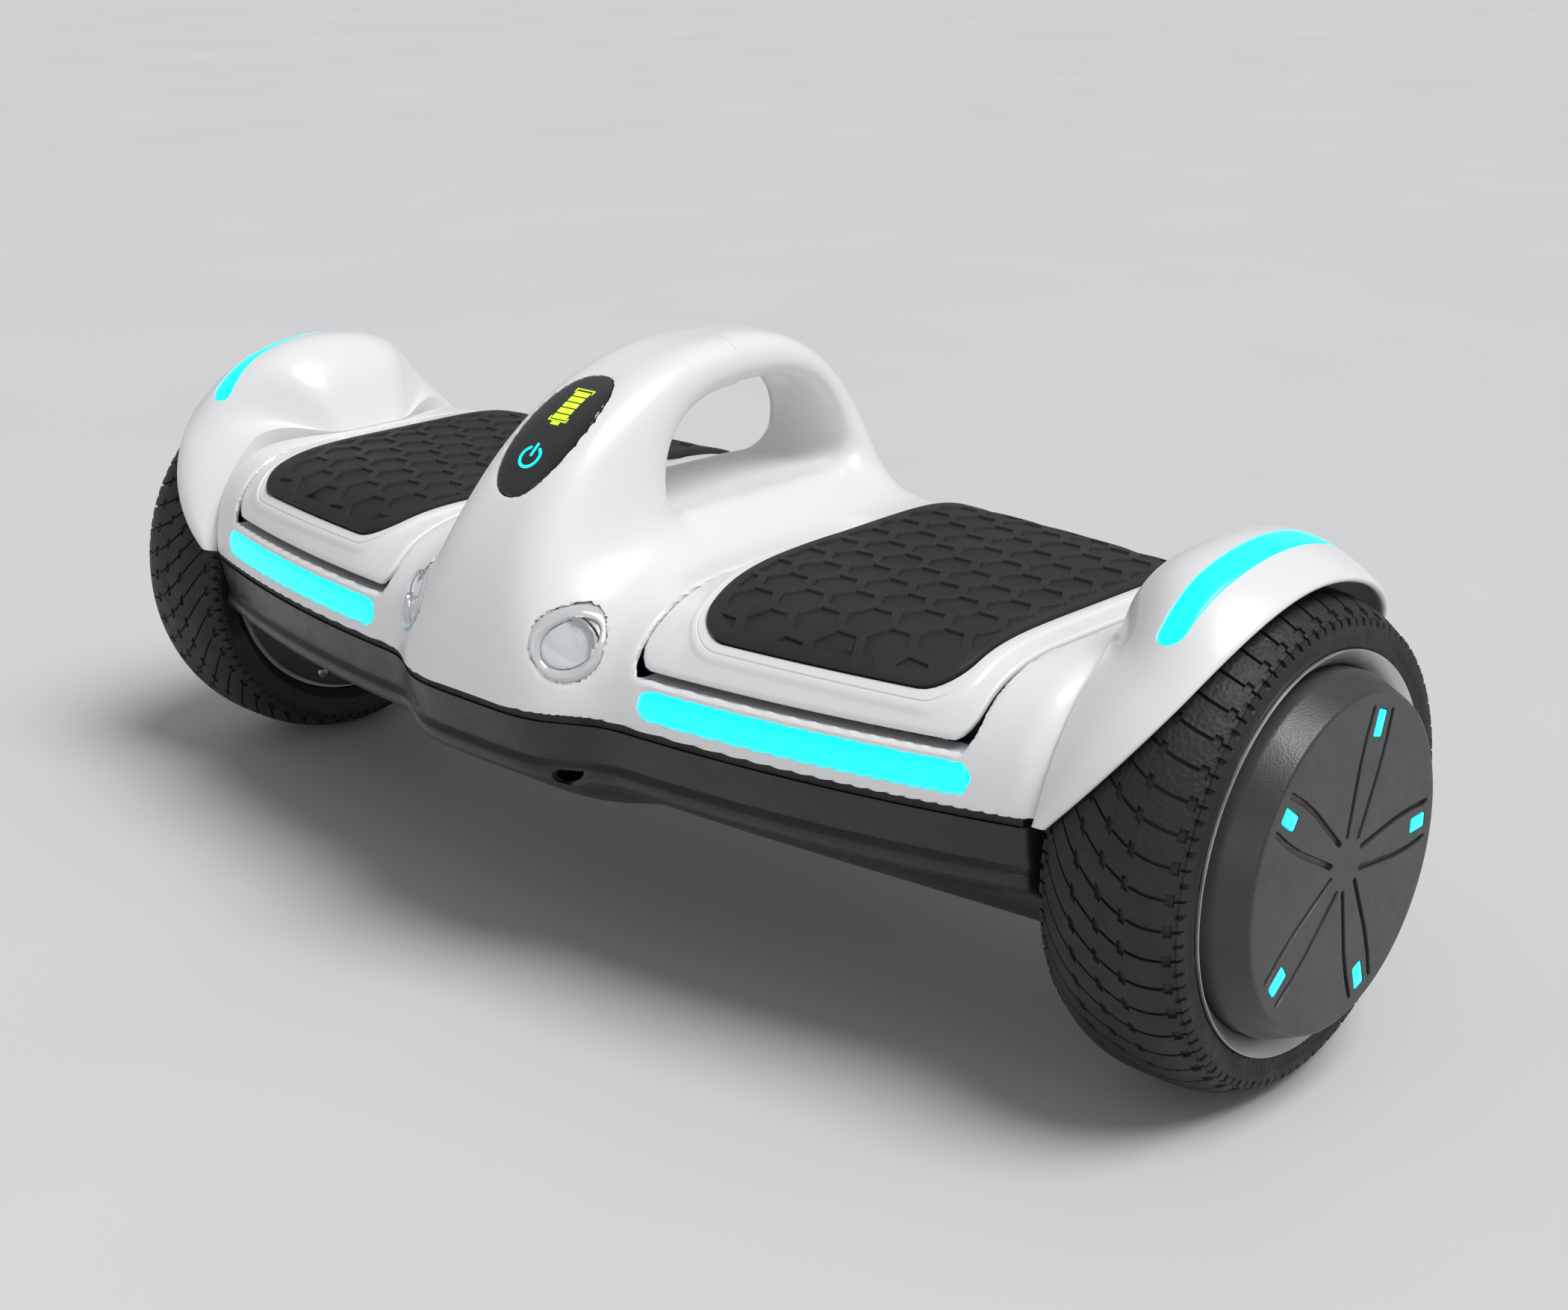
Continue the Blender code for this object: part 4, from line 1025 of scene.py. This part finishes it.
def bar_along(axis, name, loop, low, high):
    """A prism through a loop in the plane square to X or Y."""
    rings = []
    for at in (low, high):
        a, b = loop.T
        rings.append(np.stack([a, 0 * a + at, b], 1) if axis == "Y" else np.stack([0 * a + at, a, b], 1))
    return skin_rings(name, rings)


def make_lower_shell():
    """The dark lower casing: a tub with the rear port seat, two front pockets and the axle holes."""
    casing = casing_solid("lower_casing", BODY_END_X, 0.0, LOWER_TOP_Z, 0.001)
    pocket_y = 0.0062 - float(body_depth(0.046))
    for side in (-1, 1):
        pocket = rounded_box(0.0085, 0.0042, 0.0040) + (side * 0.0460, 0.0800)
        cut_with(casing, bar_along("Y", "pocket", pocket, -0.14, pocket_y), "DIFFERENCE")
    cut_with(casing, casing_solid("hollow", BODY_END_X - 0.0026, 0.0026, 0.110, 0.0), "DIFFERENCE")
    boss = rounded_box(0.0225, 0.0101, 0.002) + (0.0, 0.0915)
    cut_with(casing, bar_along("Y", "boss", boss, 0.1070, 0.1172), "UNION")
    seat = rounded_box(0.0195, 0.0160, 0.003) + (0.0, 0.1002)
    cut_with(casing, bar_along("Y", "seat", seat, 0.1130, 0.14), "DIFFERENCE")
    for x, radius in ((-0.0105, 0.0066), (0.0105, 0.0060)):
        cut_with(casing, bar_along("Y", "hole", circle(radius, 40) + (x, 0.094), 0.10, 0.12), "DIFFERENCE")
    for side in (-1, 1):
        hole = circle(0.0098, 48) + (0.0, AXLE_Z)
        cut_with(casing, bar_along("X", "hole", hole, side * 0.2, side * 0.23), "DIFFERENCE")
    return clean(casing, 35.0)


def make_casing_screws():
    """Screws through the belly of the lower casing."""
    along = (-0.195, -0.130, -0.075, 0.075, 0.130, 0.195)
    places = [(x, y, BELLY_Z - 0.0002) for x in along for y in (-0.045, 0.045)]
    return screws("casing_screws", 0.0028, places, (0, 0, -1))


def make_gasket():
    """The dark band that fills the joint between the shells, set in from both."""
    xs = np.concatenate([-TABLE_X[::-1], TABLE_X[1:]])
    xs = xs[np.abs(xs) < BODY_END_X - 0.0005]
    low, high = LOWER_TOP_Z + GAP, BASE_Z - GAP
    rings = []
    for inset_by, z in ((0.0018, low), (0.0018, high), (0.0050, high), (0.0050, low)):
        x = xs * (BODY_END_X - inset_by) / xs[-1]
        y = body_depth(x) - inset_by
        loop = np.vstack([np.stack([x, -y], 1), np.stack([x, y], 1)[::-1]])
        rings.append(np.column_stack([loop, np.full(len(loop), z)]))
    return skin_rings("joint_gasket", rings, closed=True)


# Display, headlights and front strips -----------------------------------------------------------


def inlay(name, outline, proud, edge, thick, low, high, cell, half=False):
    """A piece let into the shell: the body's surface, raised a little, within a rounded outline."""
    def field(x, y, z):
        outer = body_field(x, y, z)
        return np.maximum(smooth_max(outer - proud, outline(x, y, z), edge), -(outer + thick))

    return contour(name, field, low, high, cell, half=half)


def make_display():
    """The display's black glass, flush with the arch."""
    low, high = (0, -0.106, 0.160), (0.018, -0.048, 0.213)
    outline = lambda x, y, z: display_field(x, y, z, -0.0001)
    return inlay("display_glass", outline, 0.0001, 0.0007, 0.0024, low, high, 0.0008, half=True)


def on_display(across, up, height):
    """Points on the display's glass, found along its outward direction."""
    across, up = np.asarray(across, float), np.asarray(up, float)

    def place(out):
        y, z = (DISPLAY_MIDDLE[i] + up * DISPLAY_UP[i] + out * DISPLAY_OUT[i] for i in (1, 2))
        return across, y, z

    limits = np.full(len(across), -0.02), np.full(len(across), 0.02)
    surface = zero_between(lambda out: body_field(*place(out)), *limits)
    return np.stack(place(surface + 0.0001 + height), 1)


def display_chip(name, loop):
    """A thin lit shape lying on the display's glass."""
    return relief_sheet(name, [(loop, 0.00014)], [], 0.0016, on_display, -0.00006)


def make_battery_icon():
    """Outline, terminal and five bars of a charge gauge, lengthways up the arch."""
    low, high, half, line = 0.0033, 0.0209, 0.0047, 0.0005
    boxes = [
        (low, high, -half, line - half), (low, high, half - line, half),
        (low, low + line, line - half, half - line), (high - line, high, line - half, half - line),
        (low - 0.0017, low - 0.0003, -0.0020, 0.0020),
    ]
    pitch = (high - low - 4 * line) / 5
    for k in range(5):
        start = low + 2.3 * line + pitch * k
        boxes.append((start, start + 0.76 * pitch, 2.2 * line - half, half - 2.2 * line))
    made = []
    for bottom, top, left, right in boxes:
        loop = rounded_box((right - left) / 2, (top - bottom) / 2, 0.0001, 1)
        made.append(display_chip("chip", loop + ((left + right) / 2, (bottom + top) / 2)))
    return join(made, "charge_gauge")


def make_power_icon():
    """A plain power symbol: an open ring and a bar."""
    turn = np.radians(np.linspace(122, 418, 48))
    arc = 0.0044 * np.stack([np.cos(turn), np.sin(turn)], 1)
    bar = [(0.0, 0.0008), (0.0, 0.0056)]
    made = [display_chip("chip", capsule(path, 0.0006) + (0.0, -0.0137)) for path in (arc, bar)]
    return join(made, "power_symbol")


def make_strip(word):
    """A front light strip, flush in its slot."""
    low, high = (0.070, -0.112, 0.1085), (0.2035, -0.072, 0.1215)
    outline = lambda x, y, z: strip_field(x, z, -0.0001)
    return inlay(f"{word}_strip_light", outline, 0.0002, 0.0008, 0.0024, low, high, 0.0010)


def bore_field(x, z, radius):
    return np.hypot(x - HEADLIGHT_X, z - HEADLIGHT_Z) - radius


def make_headlight(word):
    """The clear surround, bulging a little, with a round bore."""
    def surround(x, y, z):
        outer = body_field(x, y, z)
        face = smooth_max(outer - 0.0007, headlight_field(x, z, -0.0001), 0.0024)
        return smooth_max(np.maximum(face, -(outer + 0.0030)), -bore_field(x, z, 0.0082), 0.0024)

    low, high = (0.024, -0.126, 0.112), (0.060, -0.080, 0.148)
    return contour(f"{word}_headlight_surround", surround, low, high, 0.0007)


def make_headlight_cover(word):
    """The thin clear cover inside the surround."""
    def cover(x, y, z):
        outer = body_field(x, y, z)
        face = smooth_max(outer + 0.0006, bore_field(x, z, 0.0080), 0.0008)
        return smooth_max(face, -(outer + 0.0020), 0.0004)

    return contour(f"{word}_headlight_cover", cover, (0.030, -0.124, 0.118), (0.054, -0.086, 0.142), 0.0007)


def headlight_axis():
    """Where the headlight's centre meets the shell, and the shell's outward direction there."""
    y = np.linspace(-0.13, -0.08, 2001)
    value = body_field(np.full(len(y), HEADLIGHT_X), y, np.full(len(y), HEADLIGHT_Z))
    place = Vector((HEADLIGHT_X, y[np.argmax(value < 0)], HEADLIGHT_Z))
    return place, Vector((0.10, -0.97, 0.16)).normalized()


def make_reflector(word):
    """A ribbed mirror cup behind the cover."""
    place, out = headlight_axis()
    profile = [
        (-0.0026, 0.0094), (-0.0034, 0.0088), (-0.0042, 0.0090), (-0.0052, 0.0082), (-0.0060, 0.0084),
        (-0.0074, 0.0074), (-0.0082, 0.0076), (-0.0100, 0.0060), (-0.0116, 0.0044), (-0.0124, 0.0),
        (-0.0134, 0.0), (-0.0130, 0.0060), (-0.0094, 0.0088), (-0.0034, 0.0102),
    ]
    return aim(turned(f"{word}_headlight_cup", profile, 30, 20.0), place, out)


def make_lamp(word):
    """The frosted inner lens that stands in the cup, stepped in rings."""
    place, out = headlight_axis()
    profile = [
        (-0.0122, 0.0), (-0.0122, 0.0040), (-0.0060, 0.0064), (-0.0040, 0.0066), (-0.0034, 0.0062),
        (-0.0034, 0.0050), (-0.0038, 0.0049), (-0.0034, 0.0047), (-0.0032, 0.0034), (-0.0036, 0.0033),
        (-0.0032, 0.0031), (-0.0030, 0.0),
    ]
    return aim(turned(f"{word}_headlight_lamp", profile, 48, 22.0), place, out)


# Rear ports -----------------------------------------------------------------------------------


def make_port_flap():
    """The charge port's rubber cap, with a raised rim round a shallow dish."""
    low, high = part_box("charge_port_cap")
    middle = (low + high) / 2
    half_x, half_z = (high.x - low.x) / 2, (high.z - low.z) / 2

    def on_cap(x, z, height):
        return np.stack([middle.x + x, high.y - 0.0003 + height + 0 * x, middle.z + z], 1)

    edge = []
    for d, h in ((0.0, -0.0008), (0.0001, -0.0003), (0.0005, 0.0)):
        edge.append((rounded_box(half_x - d, half_z - d, 0.0022 - d), h))
    dish = [(rounded_box(half_x - d, half_z - d, 0.0016), h) for d, h in ((0.0014, 0.0), (0.0018, -0.0004))]
    return relief_sheet("port_flap", edge, [dish], 0.002, on_cap, -0.0019)


def make_power_knob():
    """The round power button: a dished face in a rounded rim."""
    low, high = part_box("power_button")
    profile = [
        (0.0, 0.0), (0.0, 0.0054), (0.0082, 0.0054), (0.0088, 0.0050),
        (0.0090, 0.0044), (0.0086, 0.0038), (0.0082, 0.0),
    ]
    knob = turned("power_knob", profile, 64, 30.0)
    return aim(knob, ((low.x + high.x) / 2, low.y, (low.z + high.z) / 2), (0, 1, 0))


# Materials ------------------------------------------------------------------------------------


def principled(made):
    return made.node_tree.nodes["Principled BSDF"]


def new_material(name, colour, roughness, metallic=0.0, **inputs):
    """A node material with its Principled shader and a table of extra inputs."""
    made = bpy.data.materials.new(name)
    made.use_nodes = True
    shader = principled(made)
    shader.inputs["Base Color"].default_value = (*colour, 1.0)
    shader.inputs["Roughness"].default_value = roughness
    shader.inputs["Metallic"].default_value = metallic
    for key, value in inputs.items():
        shader.inputs[key.replace("_", " ")].default_value = value
    return made


def add_node(made, kind, links=(), **settings):
    """Adds a node, sets its inputs and properties, and links (output, input) pairs into it."""
    node = made.node_tree.nodes.new(kind)
    for key, value in settings.items():
        if hasattr(node, key):
            setattr(node, key, value)
        else:
            node.inputs[key.replace("_", " ")].default_value = value
    for source, target in links:
        made.node_tree.links.new(source, node.inputs[target])
    return node


def add_texture(made, kind, **settings):
    """A texture or mapping node that reads the object's own coordinates."""
    place = add_node(made, "ShaderNodeTexCoord")
    return add_node(made, kind, [(place.outputs["Object"], "Vector")], **settings)


def drive(made, output, target):
    made.node_tree.links.new(output, principled(made).inputs[target])


def add_bump(made, output, strength, distance):
    """Uses an output as the height of a bump, over any bump that is there already."""
    bump = add_node(made, "ShaderNodeBump", [(output, "Height")], Strength=strength, Distance=distance)
    normal = principled(made).inputs["Normal"]
    if normal.is_linked:
        made.node_tree.links.new(normal.links[0].from_socket, bump.inputs["Normal"])
    drive(made, bump.outputs["Normal"], "Normal")


def grain(made, scale, height, detail=2.0):
    """Fine surface noise, as bump."""
    noise = add_texture(made, "ShaderNodeTexNoise", Scale=scale, Detail=detail)
    add_bump(made, noise.outputs["Fac"], 1.0, height)


def pebbles(made, scale, height):
    """Fine rounded cells, as bump."""
    cells = add_texture(made, "ShaderNodeTexVoronoi", Scale=scale)
    add_bump(made, cells.outputs["Distance"], 1.0, height)


def vary(made, target, scale, low, high, detail=3.0):
    """Drives a number or a colour of the shader with noise, between two values."""
    noise = add_texture(made, "ShaderNodeTexNoise", Scale=scale, Detail=detail)
    ramp = add_node(made, "ShaderNodeValToRGB", [(noise.outputs["Fac"], "Fac")])
    ramp.color_ramp.elements[0].position = 0.3
    ramp.color_ramp.elements[1].position = 0.7
    for element, value in zip(ramp.color_ramp.elements, (low, high)):
        element.color = (*value, 1.0) if isinstance(value, tuple) else (value, value, value, 1.0)
    drive(made, ramp.outputs["Color"], target)


def white_plastic():
    inputs = {"Coat_Weight": 0.25, "Coat_Roughness": 0.12}
    made = new_material("gloss_white_plastic", (0.84, 0.84, 0.85), 0.30, **inputs)
    vary(made, "Base Color", 9.0, (0.825, 0.825, 0.835), (0.85, 0.85, 0.855))
    vary(made, "Roughness", 60.0, 0.26, 0.36)
    grain(made, 2600.0, 0.00002)
    return made


def dark_plastic(name, dark, light, rough, pebble_scale, pebble):
    """Moulded plastic or rubber: blotchy shade, uneven sheen and a pebbled surface."""
    made = new_material(name, dark, rough[0])
    vary(made, "Base Color", 30.0, dark, light, 6.0)
    vary(made, "Roughness", 140.0, *rough)
    pebbles(made, pebble_scale, pebble)
    grain(made, pebble_scale * 2.3, pebble * 0.4)
    return made


def metal(name, colour, rough, stretch):
    """Machined metal: fine lines drawn out along one direction, and cloudy sheen."""
    made = new_material(name, colour, rough, 1.0)
    tint = tuple(0.82 * c for c in colour)
    vary(made, "Base Color", 40.0, tint, colour)
    squeeze = add_texture(made, "ShaderNodeMapping", Scale=stretch)
    links = [(squeeze.outputs["Vector"], "Vector")]
    lines = add_node(made, "ShaderNodeTexNoise", links, Scale=1.0, Detail=4.0)
    spread = add_node(made, "ShaderNodeMapRange", [(lines.outputs["Fac"], "Value")])
    spread.inputs["To Min"].default_value = rough * 0.7
    spread.inputs["To Max"].default_value = rough * 1.5
    drive(made, spread.outputs["Result"], "Roughness")
    add_bump(made, lines.outputs["Fac"], 0.6, 0.00004)
    return made


def ring_metal(name, colour, rough, fineness):
    """Metal turned on a lathe: grooves that run round the axle line."""
    made = metal(name, colour, rough, (900.0, 90.0, 90.0))
    centre = add_texture(made, "ShaderNodeMapping", Location=(0.0, 0.0, -AXLE_Z))
    links = [(centre.outputs["Vector"], "Vector")]
    rings = add_node(made, "ShaderNodeTexWave", links, Scale=fineness, Distortion=0.6)
    rings.wave_type = "RINGS"
    rings.rings_direction = "X"
    add_bump(made, rings.outputs["Fac"], 0.5, 0.00002)
    return made


def glow(name, colour, strength, spacing):
    """A lit diffuser: faint bright spots where the lamps sit behind a milky, finely grained face."""
    inputs = {"Emission_Strength": strength, "Coat_Weight": 0.4, "Coat_Roughness": 0.1}
    made = new_material(name, colour, 0.35, **inputs)
    deep = tuple(0.86 * c for c in colour)
    vary(made, "Base Color", 180.0, deep, colour)
    vary(made, "Roughness", 220.0, 0.3, 0.42)
    spots = add_texture(made, "ShaderNodeTexVoronoi", Scale=1 / spacing, Randomness=0.35)
    ramp = add_node(made, "ShaderNodeValToRGB", [(spots.outputs["Distance"], "Fac")])
    ramp.color_ramp.elements[0].color = (*colour, 1.0)
    ramp.color_ramp.elements[1].color = (*deep, 1.0)
    drive(made, ramp.outputs["Color"], "Emission Color")
    grain(made, 1500.0, 0.00002)
    return made


def clear_plastic():
    inputs = {"Transmission_Weight": 0.45, "IOR": 1.46, "Coat_Weight": 0.6}
    made = new_material("clear_lens_plastic", (0.95, 0.96, 0.97), 0.05, **inputs)
    vary(made, "Base Color", 50.0, (0.90, 0.92, 0.93), (0.97, 0.98, 0.99))
    vary(made, "Roughness", 120.0, 0.03, 0.10)
    grain(made, 420.0, 0.00002)
    return made


def frosted_lamp():
    inputs = {"Emission_Strength": 0.12, "Transmission_Weight": 0.25, "Emission_Color": (0.9, 0.95, 1.0, 1.0)}
    made = new_material("frosted_lamp", (0.80, 0.82, 0.84), 0.35, **inputs)
    vary(made, "Base Color", 150.0, (0.70, 0.72, 0.75), (0.88, 0.90, 0.92))
    vary(made, "Roughness", 160.0, 0.28, 0.45)
    pebbles(made, 900.0, 0.00006)
    return made


def display_black():
    inputs = {"Coat_Weight": 1.0, "Coat_Roughness": 0.03}
    made = new_material("display_glass", (0.004, 0.004, 0.005), 0.06, **inputs)
    vary(made, "Roughness", 90.0, 0.05, 0.10)
    vary(made, "Base Color", 120.0, (0.003, 0.003, 0.004), (0.007, 0.007, 0.008))
    grain(made, 700.0, 0.00001)
    return made


def circuit_green():
    """A lacquered board: copper-coloured tracks in a green field."""
    made = new_material("circuit_board", (0.02, 0.20, 0.08), 0.35)
    tracks = add_texture(
        made, "ShaderNodeTexBrick", Scale=90.0,
        Color1=(0.015, 0.16, 0.06, 1), Color2=(0.03, 0.24, 0.10, 1), Mortar=(0.25, 0.22, 0.06, 1),
    )
    drive(made, tracks.outputs["Color"], "Base Color")
    vary(made, "Roughness", 200.0, 0.25, 0.5)
    pebbles(made, 800.0, 0.00005)
    return made


def shrink_wrap():
    """Blue heat-shrink film: tight wrinkles and a worn sheen."""
    made = new_material("battery_wrap", (0.03, 0.09, 0.30), 0.35, Coat_Weight=0.4)
    vary(made, "Base Color", 25.0, (0.02, 0.07, 0.24), (0.05, 0.12, 0.36), 5.0)
    vary(made, "Roughness", 70.0, 0.28, 0.45)
    grain(made, 160.0, 0.0004, detail=6.0)
    return made


def laminated_iron():
    """Stacked stator sheets, as lines across the axle, with copper-coloured varnish in patches."""
    made = metal("stator_iron", (0.38, 0.30, 0.24), 0.45, (2400.0, 30.0, 30.0))
    vary(made, "Base Color", 55.0, (0.30, 0.20, 0.13), (0.45, 0.40, 0.36), 5.0)
    return made


# Name, two shades, least and greatest roughness, and the pebbles' fineness and depth.
DARK_SHELL = ("dark_gloss_plastic", (0.012, 0.012, 0.013), (0.019, 0.019, 0.02), (0.22, 0.36), 1800, 0.00003)
BUTTON = ("button_plastic", (0.035, 0.035, 0.038), (0.05, 0.05, 0.053), (0.35, 0.5), 1500, 0.00004)
MAT_RUBBER = ("mat_rubber", (0.010, 0.010, 0.011), (0.018, 0.018, 0.019), (0.55, 0.72), 1100, 0.00012)
TYRE_RUBBER = ("tyre_rubber", (0.009, 0.009, 0.0095), (0.017, 0.017, 0.018), (0.52, 0.70), 620, 0.00025)
HUB_PAINT = ("hub_dark_paint", (0.034, 0.034, 0.035), (0.046, 0.046, 0.048), (0.30, 0.42), 1400, 0.00005)

MATERIALS = {
    "white_shell": white_plastic(),
    "dark_shell": dark_plastic(*DARK_SHELL),
    "button_plastic": dark_plastic(*BUTTON),
    "black_rubber": dark_plastic(*MAT_RUBBER),
    "tyre_rubber": dark_plastic(*TYRE_RUBBER),
    "black_glass": display_black(),
    "clear_lens": clear_plastic(),
    "cyan_light": glow("cyan_diffuser", (0.0, 0.86, 1.0), 1.0, 0.008),
    "steel": metal("brushed_steel", (0.55, 0.56, 0.58), 0.30, (60.0, 60.0, 1400.0)),
    "stator_iron": laminated_iron(),
    "aluminium": ring_metal("turned_aluminium", (0.80, 0.81, 0.82), 0.42, 900.0),
    "mirror_reflector": metal("mirror_coating", (0.92, 0.92, 0.93), 0.06, (300.0, 300.0, 300.0)),
    "hub_dark": dark_plastic(*HUB_PAINT),
    "circuit_board": circuit_green(),
    "battery_case": shrink_wrap(),
}


# Stage ----------------------------------------------------------------------------------------


def area_light(name, place, target, size, power):
    data = bpy.data.lights.new(name, "AREA")
    data.shape = "RECTANGLE"
    data.size, data.size_y = size
    data.energy = power
    lamp = bpy.data.objects.new(name, data)
    lamp.location = place
    lamp.rotation_euler = (Vector(target) - Vector(place)).to_track_quat("-Z", "Y").to_euler()
    bpy.context.scene.collection.objects.link(lamp)


def make_stage():
    """A pale floor, a broad soft light from the upper right, a weak fill and a pale world."""
    bpy.ops.mesh.primitive_plane_add(size=60.0, location=(0, 0, -0.0002))
    floor = bpy.context.object
    floor.name = "floor"
    pale = new_material("pale_floor", (0.66, 0.66, 0.67), 0.6)
    vary(pale, "Roughness", 5.0, 0.55, 0.65)
    vary(pale, "Base Color", 3.0, (0.65, 0.65, 0.66), (0.67, 0.67, 0.68))
    floor.data.materials.append(pale)
    sun = bpy.data.objects.new("soft_key", bpy.data.lights.new("soft_key", "SUN"))
    sun.data.energy = 2.4
    sun.data.angle = math.radians(32)
    sun.rotation_euler = Vector((-0.50, -0.12, -1.0)).to_track_quat("-Z", "Y").to_euler()
    bpy.context.scene.collection.objects.link(sun)
    area_light("front_fill", (0.9, -1.8, 0.7), (0, 0, 0.1), (1.4, 0.5), 3.0)
    world = bpy.data.worlds.new("studio")
    world.use_nodes = True
    world.node_tree.nodes["Background"].inputs["Color"].default_value = (0.90, 0.91, 0.93, 1)
    world.node_tree.nodes["Background"].inputs["Strength"].default_value = 0.37
    bpy.context.scene.world = world
    bpy.context.scene.view_settings.view_transform = "Standard"


# Assembly -------------------------------------------------------------------------------------


def paint(ob, material):
    ob.data.materials.clear()
    ob.data.materials.append(material)


def add(ob, body, slot, *replaced):
    """Dresses a single piece in its slot's material, parents it to its body's empty and hides the CAD parts
    it replaces.
    """
    paint(ob, MATERIALS[slot])
    return install(ob, body, slot, *replaced)


def add_pair(make, body, slot, *replaced):
    """The same for a right-hand piece and its mirror image. {} stands for the side's name."""
    piece = make("right")
    paint(piece, MATERIALS[slot])
    twin = mirrored(piece, piece.name.replace("right", "left"))
    for ob, word in ((piece, "right"), (twin, "left")):
        install(ob, body.format(word), slot, *[node.format(word) for node in replaced])


def make_fender_bar(word):
    return light_bar(f"{word}_fender_bar", 0.0, -0.0014, 0.0)


make_stage()
place_camera()

add(make_white_shell(), "chassis", "white_shell", "top_shell")
add(make_lower_shell(), "chassis", "dark_shell", "bottom_shell")
add(make_casing_screws(), "chassis", "steel")
add(make_gasket(), "chassis", "black_rubber", "seam_gasket")
add(make_display(), "chassis", "black_glass", "display_lens")
add(make_power_icon(), "chassis", "cyan_light")
gauge = add(make_battery_icon(), "chassis", "cyan_light")
paint(gauge, glow("charge_green", (0.55, 0.95, 0.02), 1.0, 0.002))

add_pair(make_plate, "{}_pedal", "white_shell", "{}_pedal_plate")
add_pair(make_mat, "{}_pedal", "black_rubber", "{}_mat")
add_pair(make_fender, "chassis", "white_shell", "{}_fender")
add_pair(make_fender_bar, "chassis", "cyan_light", "{}_fender_light")
add_pair(make_strip, "chassis", "cyan_light", "{}_front_light")
add_pair(make_headlight, "chassis", "clear_lens", "{}_headlight_lens")
add_pair(make_headlight_cover, "chassis", "clear_lens")
add_pair(make_reflector, "chassis", "mirror_reflector", "{}_headlight_reflector")
add_pair(make_lamp, "chassis", "clear_lens")

add_pair(make_tyre, "{}_wheel", "tyre_rubber", "{}_tyre")
add_pair(make_rim, "{}_wheel", "aluminium", "{}_rim")
add_pair(make_hub_cover, "{}_wheel", "hub_dark", "{}_hub_cover")
add_pair(make_hub_marks, "{}_wheel", "cyan_light", "{}_hub_light")
add_pair(make_motor_cover, "{}_wheel", "hub_dark", "{}_motor_cover")
add_pair(make_motor_screws, "{}_wheel", "steel")

add(make_port_flap(), "port_cap", "black_rubber", "charge_port_cap")
add(make_power_knob(), "power_button", "button_plastic", "power_button")

frosted = frosted_lamp()
for word in ("left", "right"):
    paint(bpy.data.objects[f"{word}_headlight_lamp"], frosted)

for row in frame["record"]["subparts"]:
    node = frame["nodes"].get(row["node"])
    if node is not None:
        paint(node, MATERIALS[row["material_slot"]])
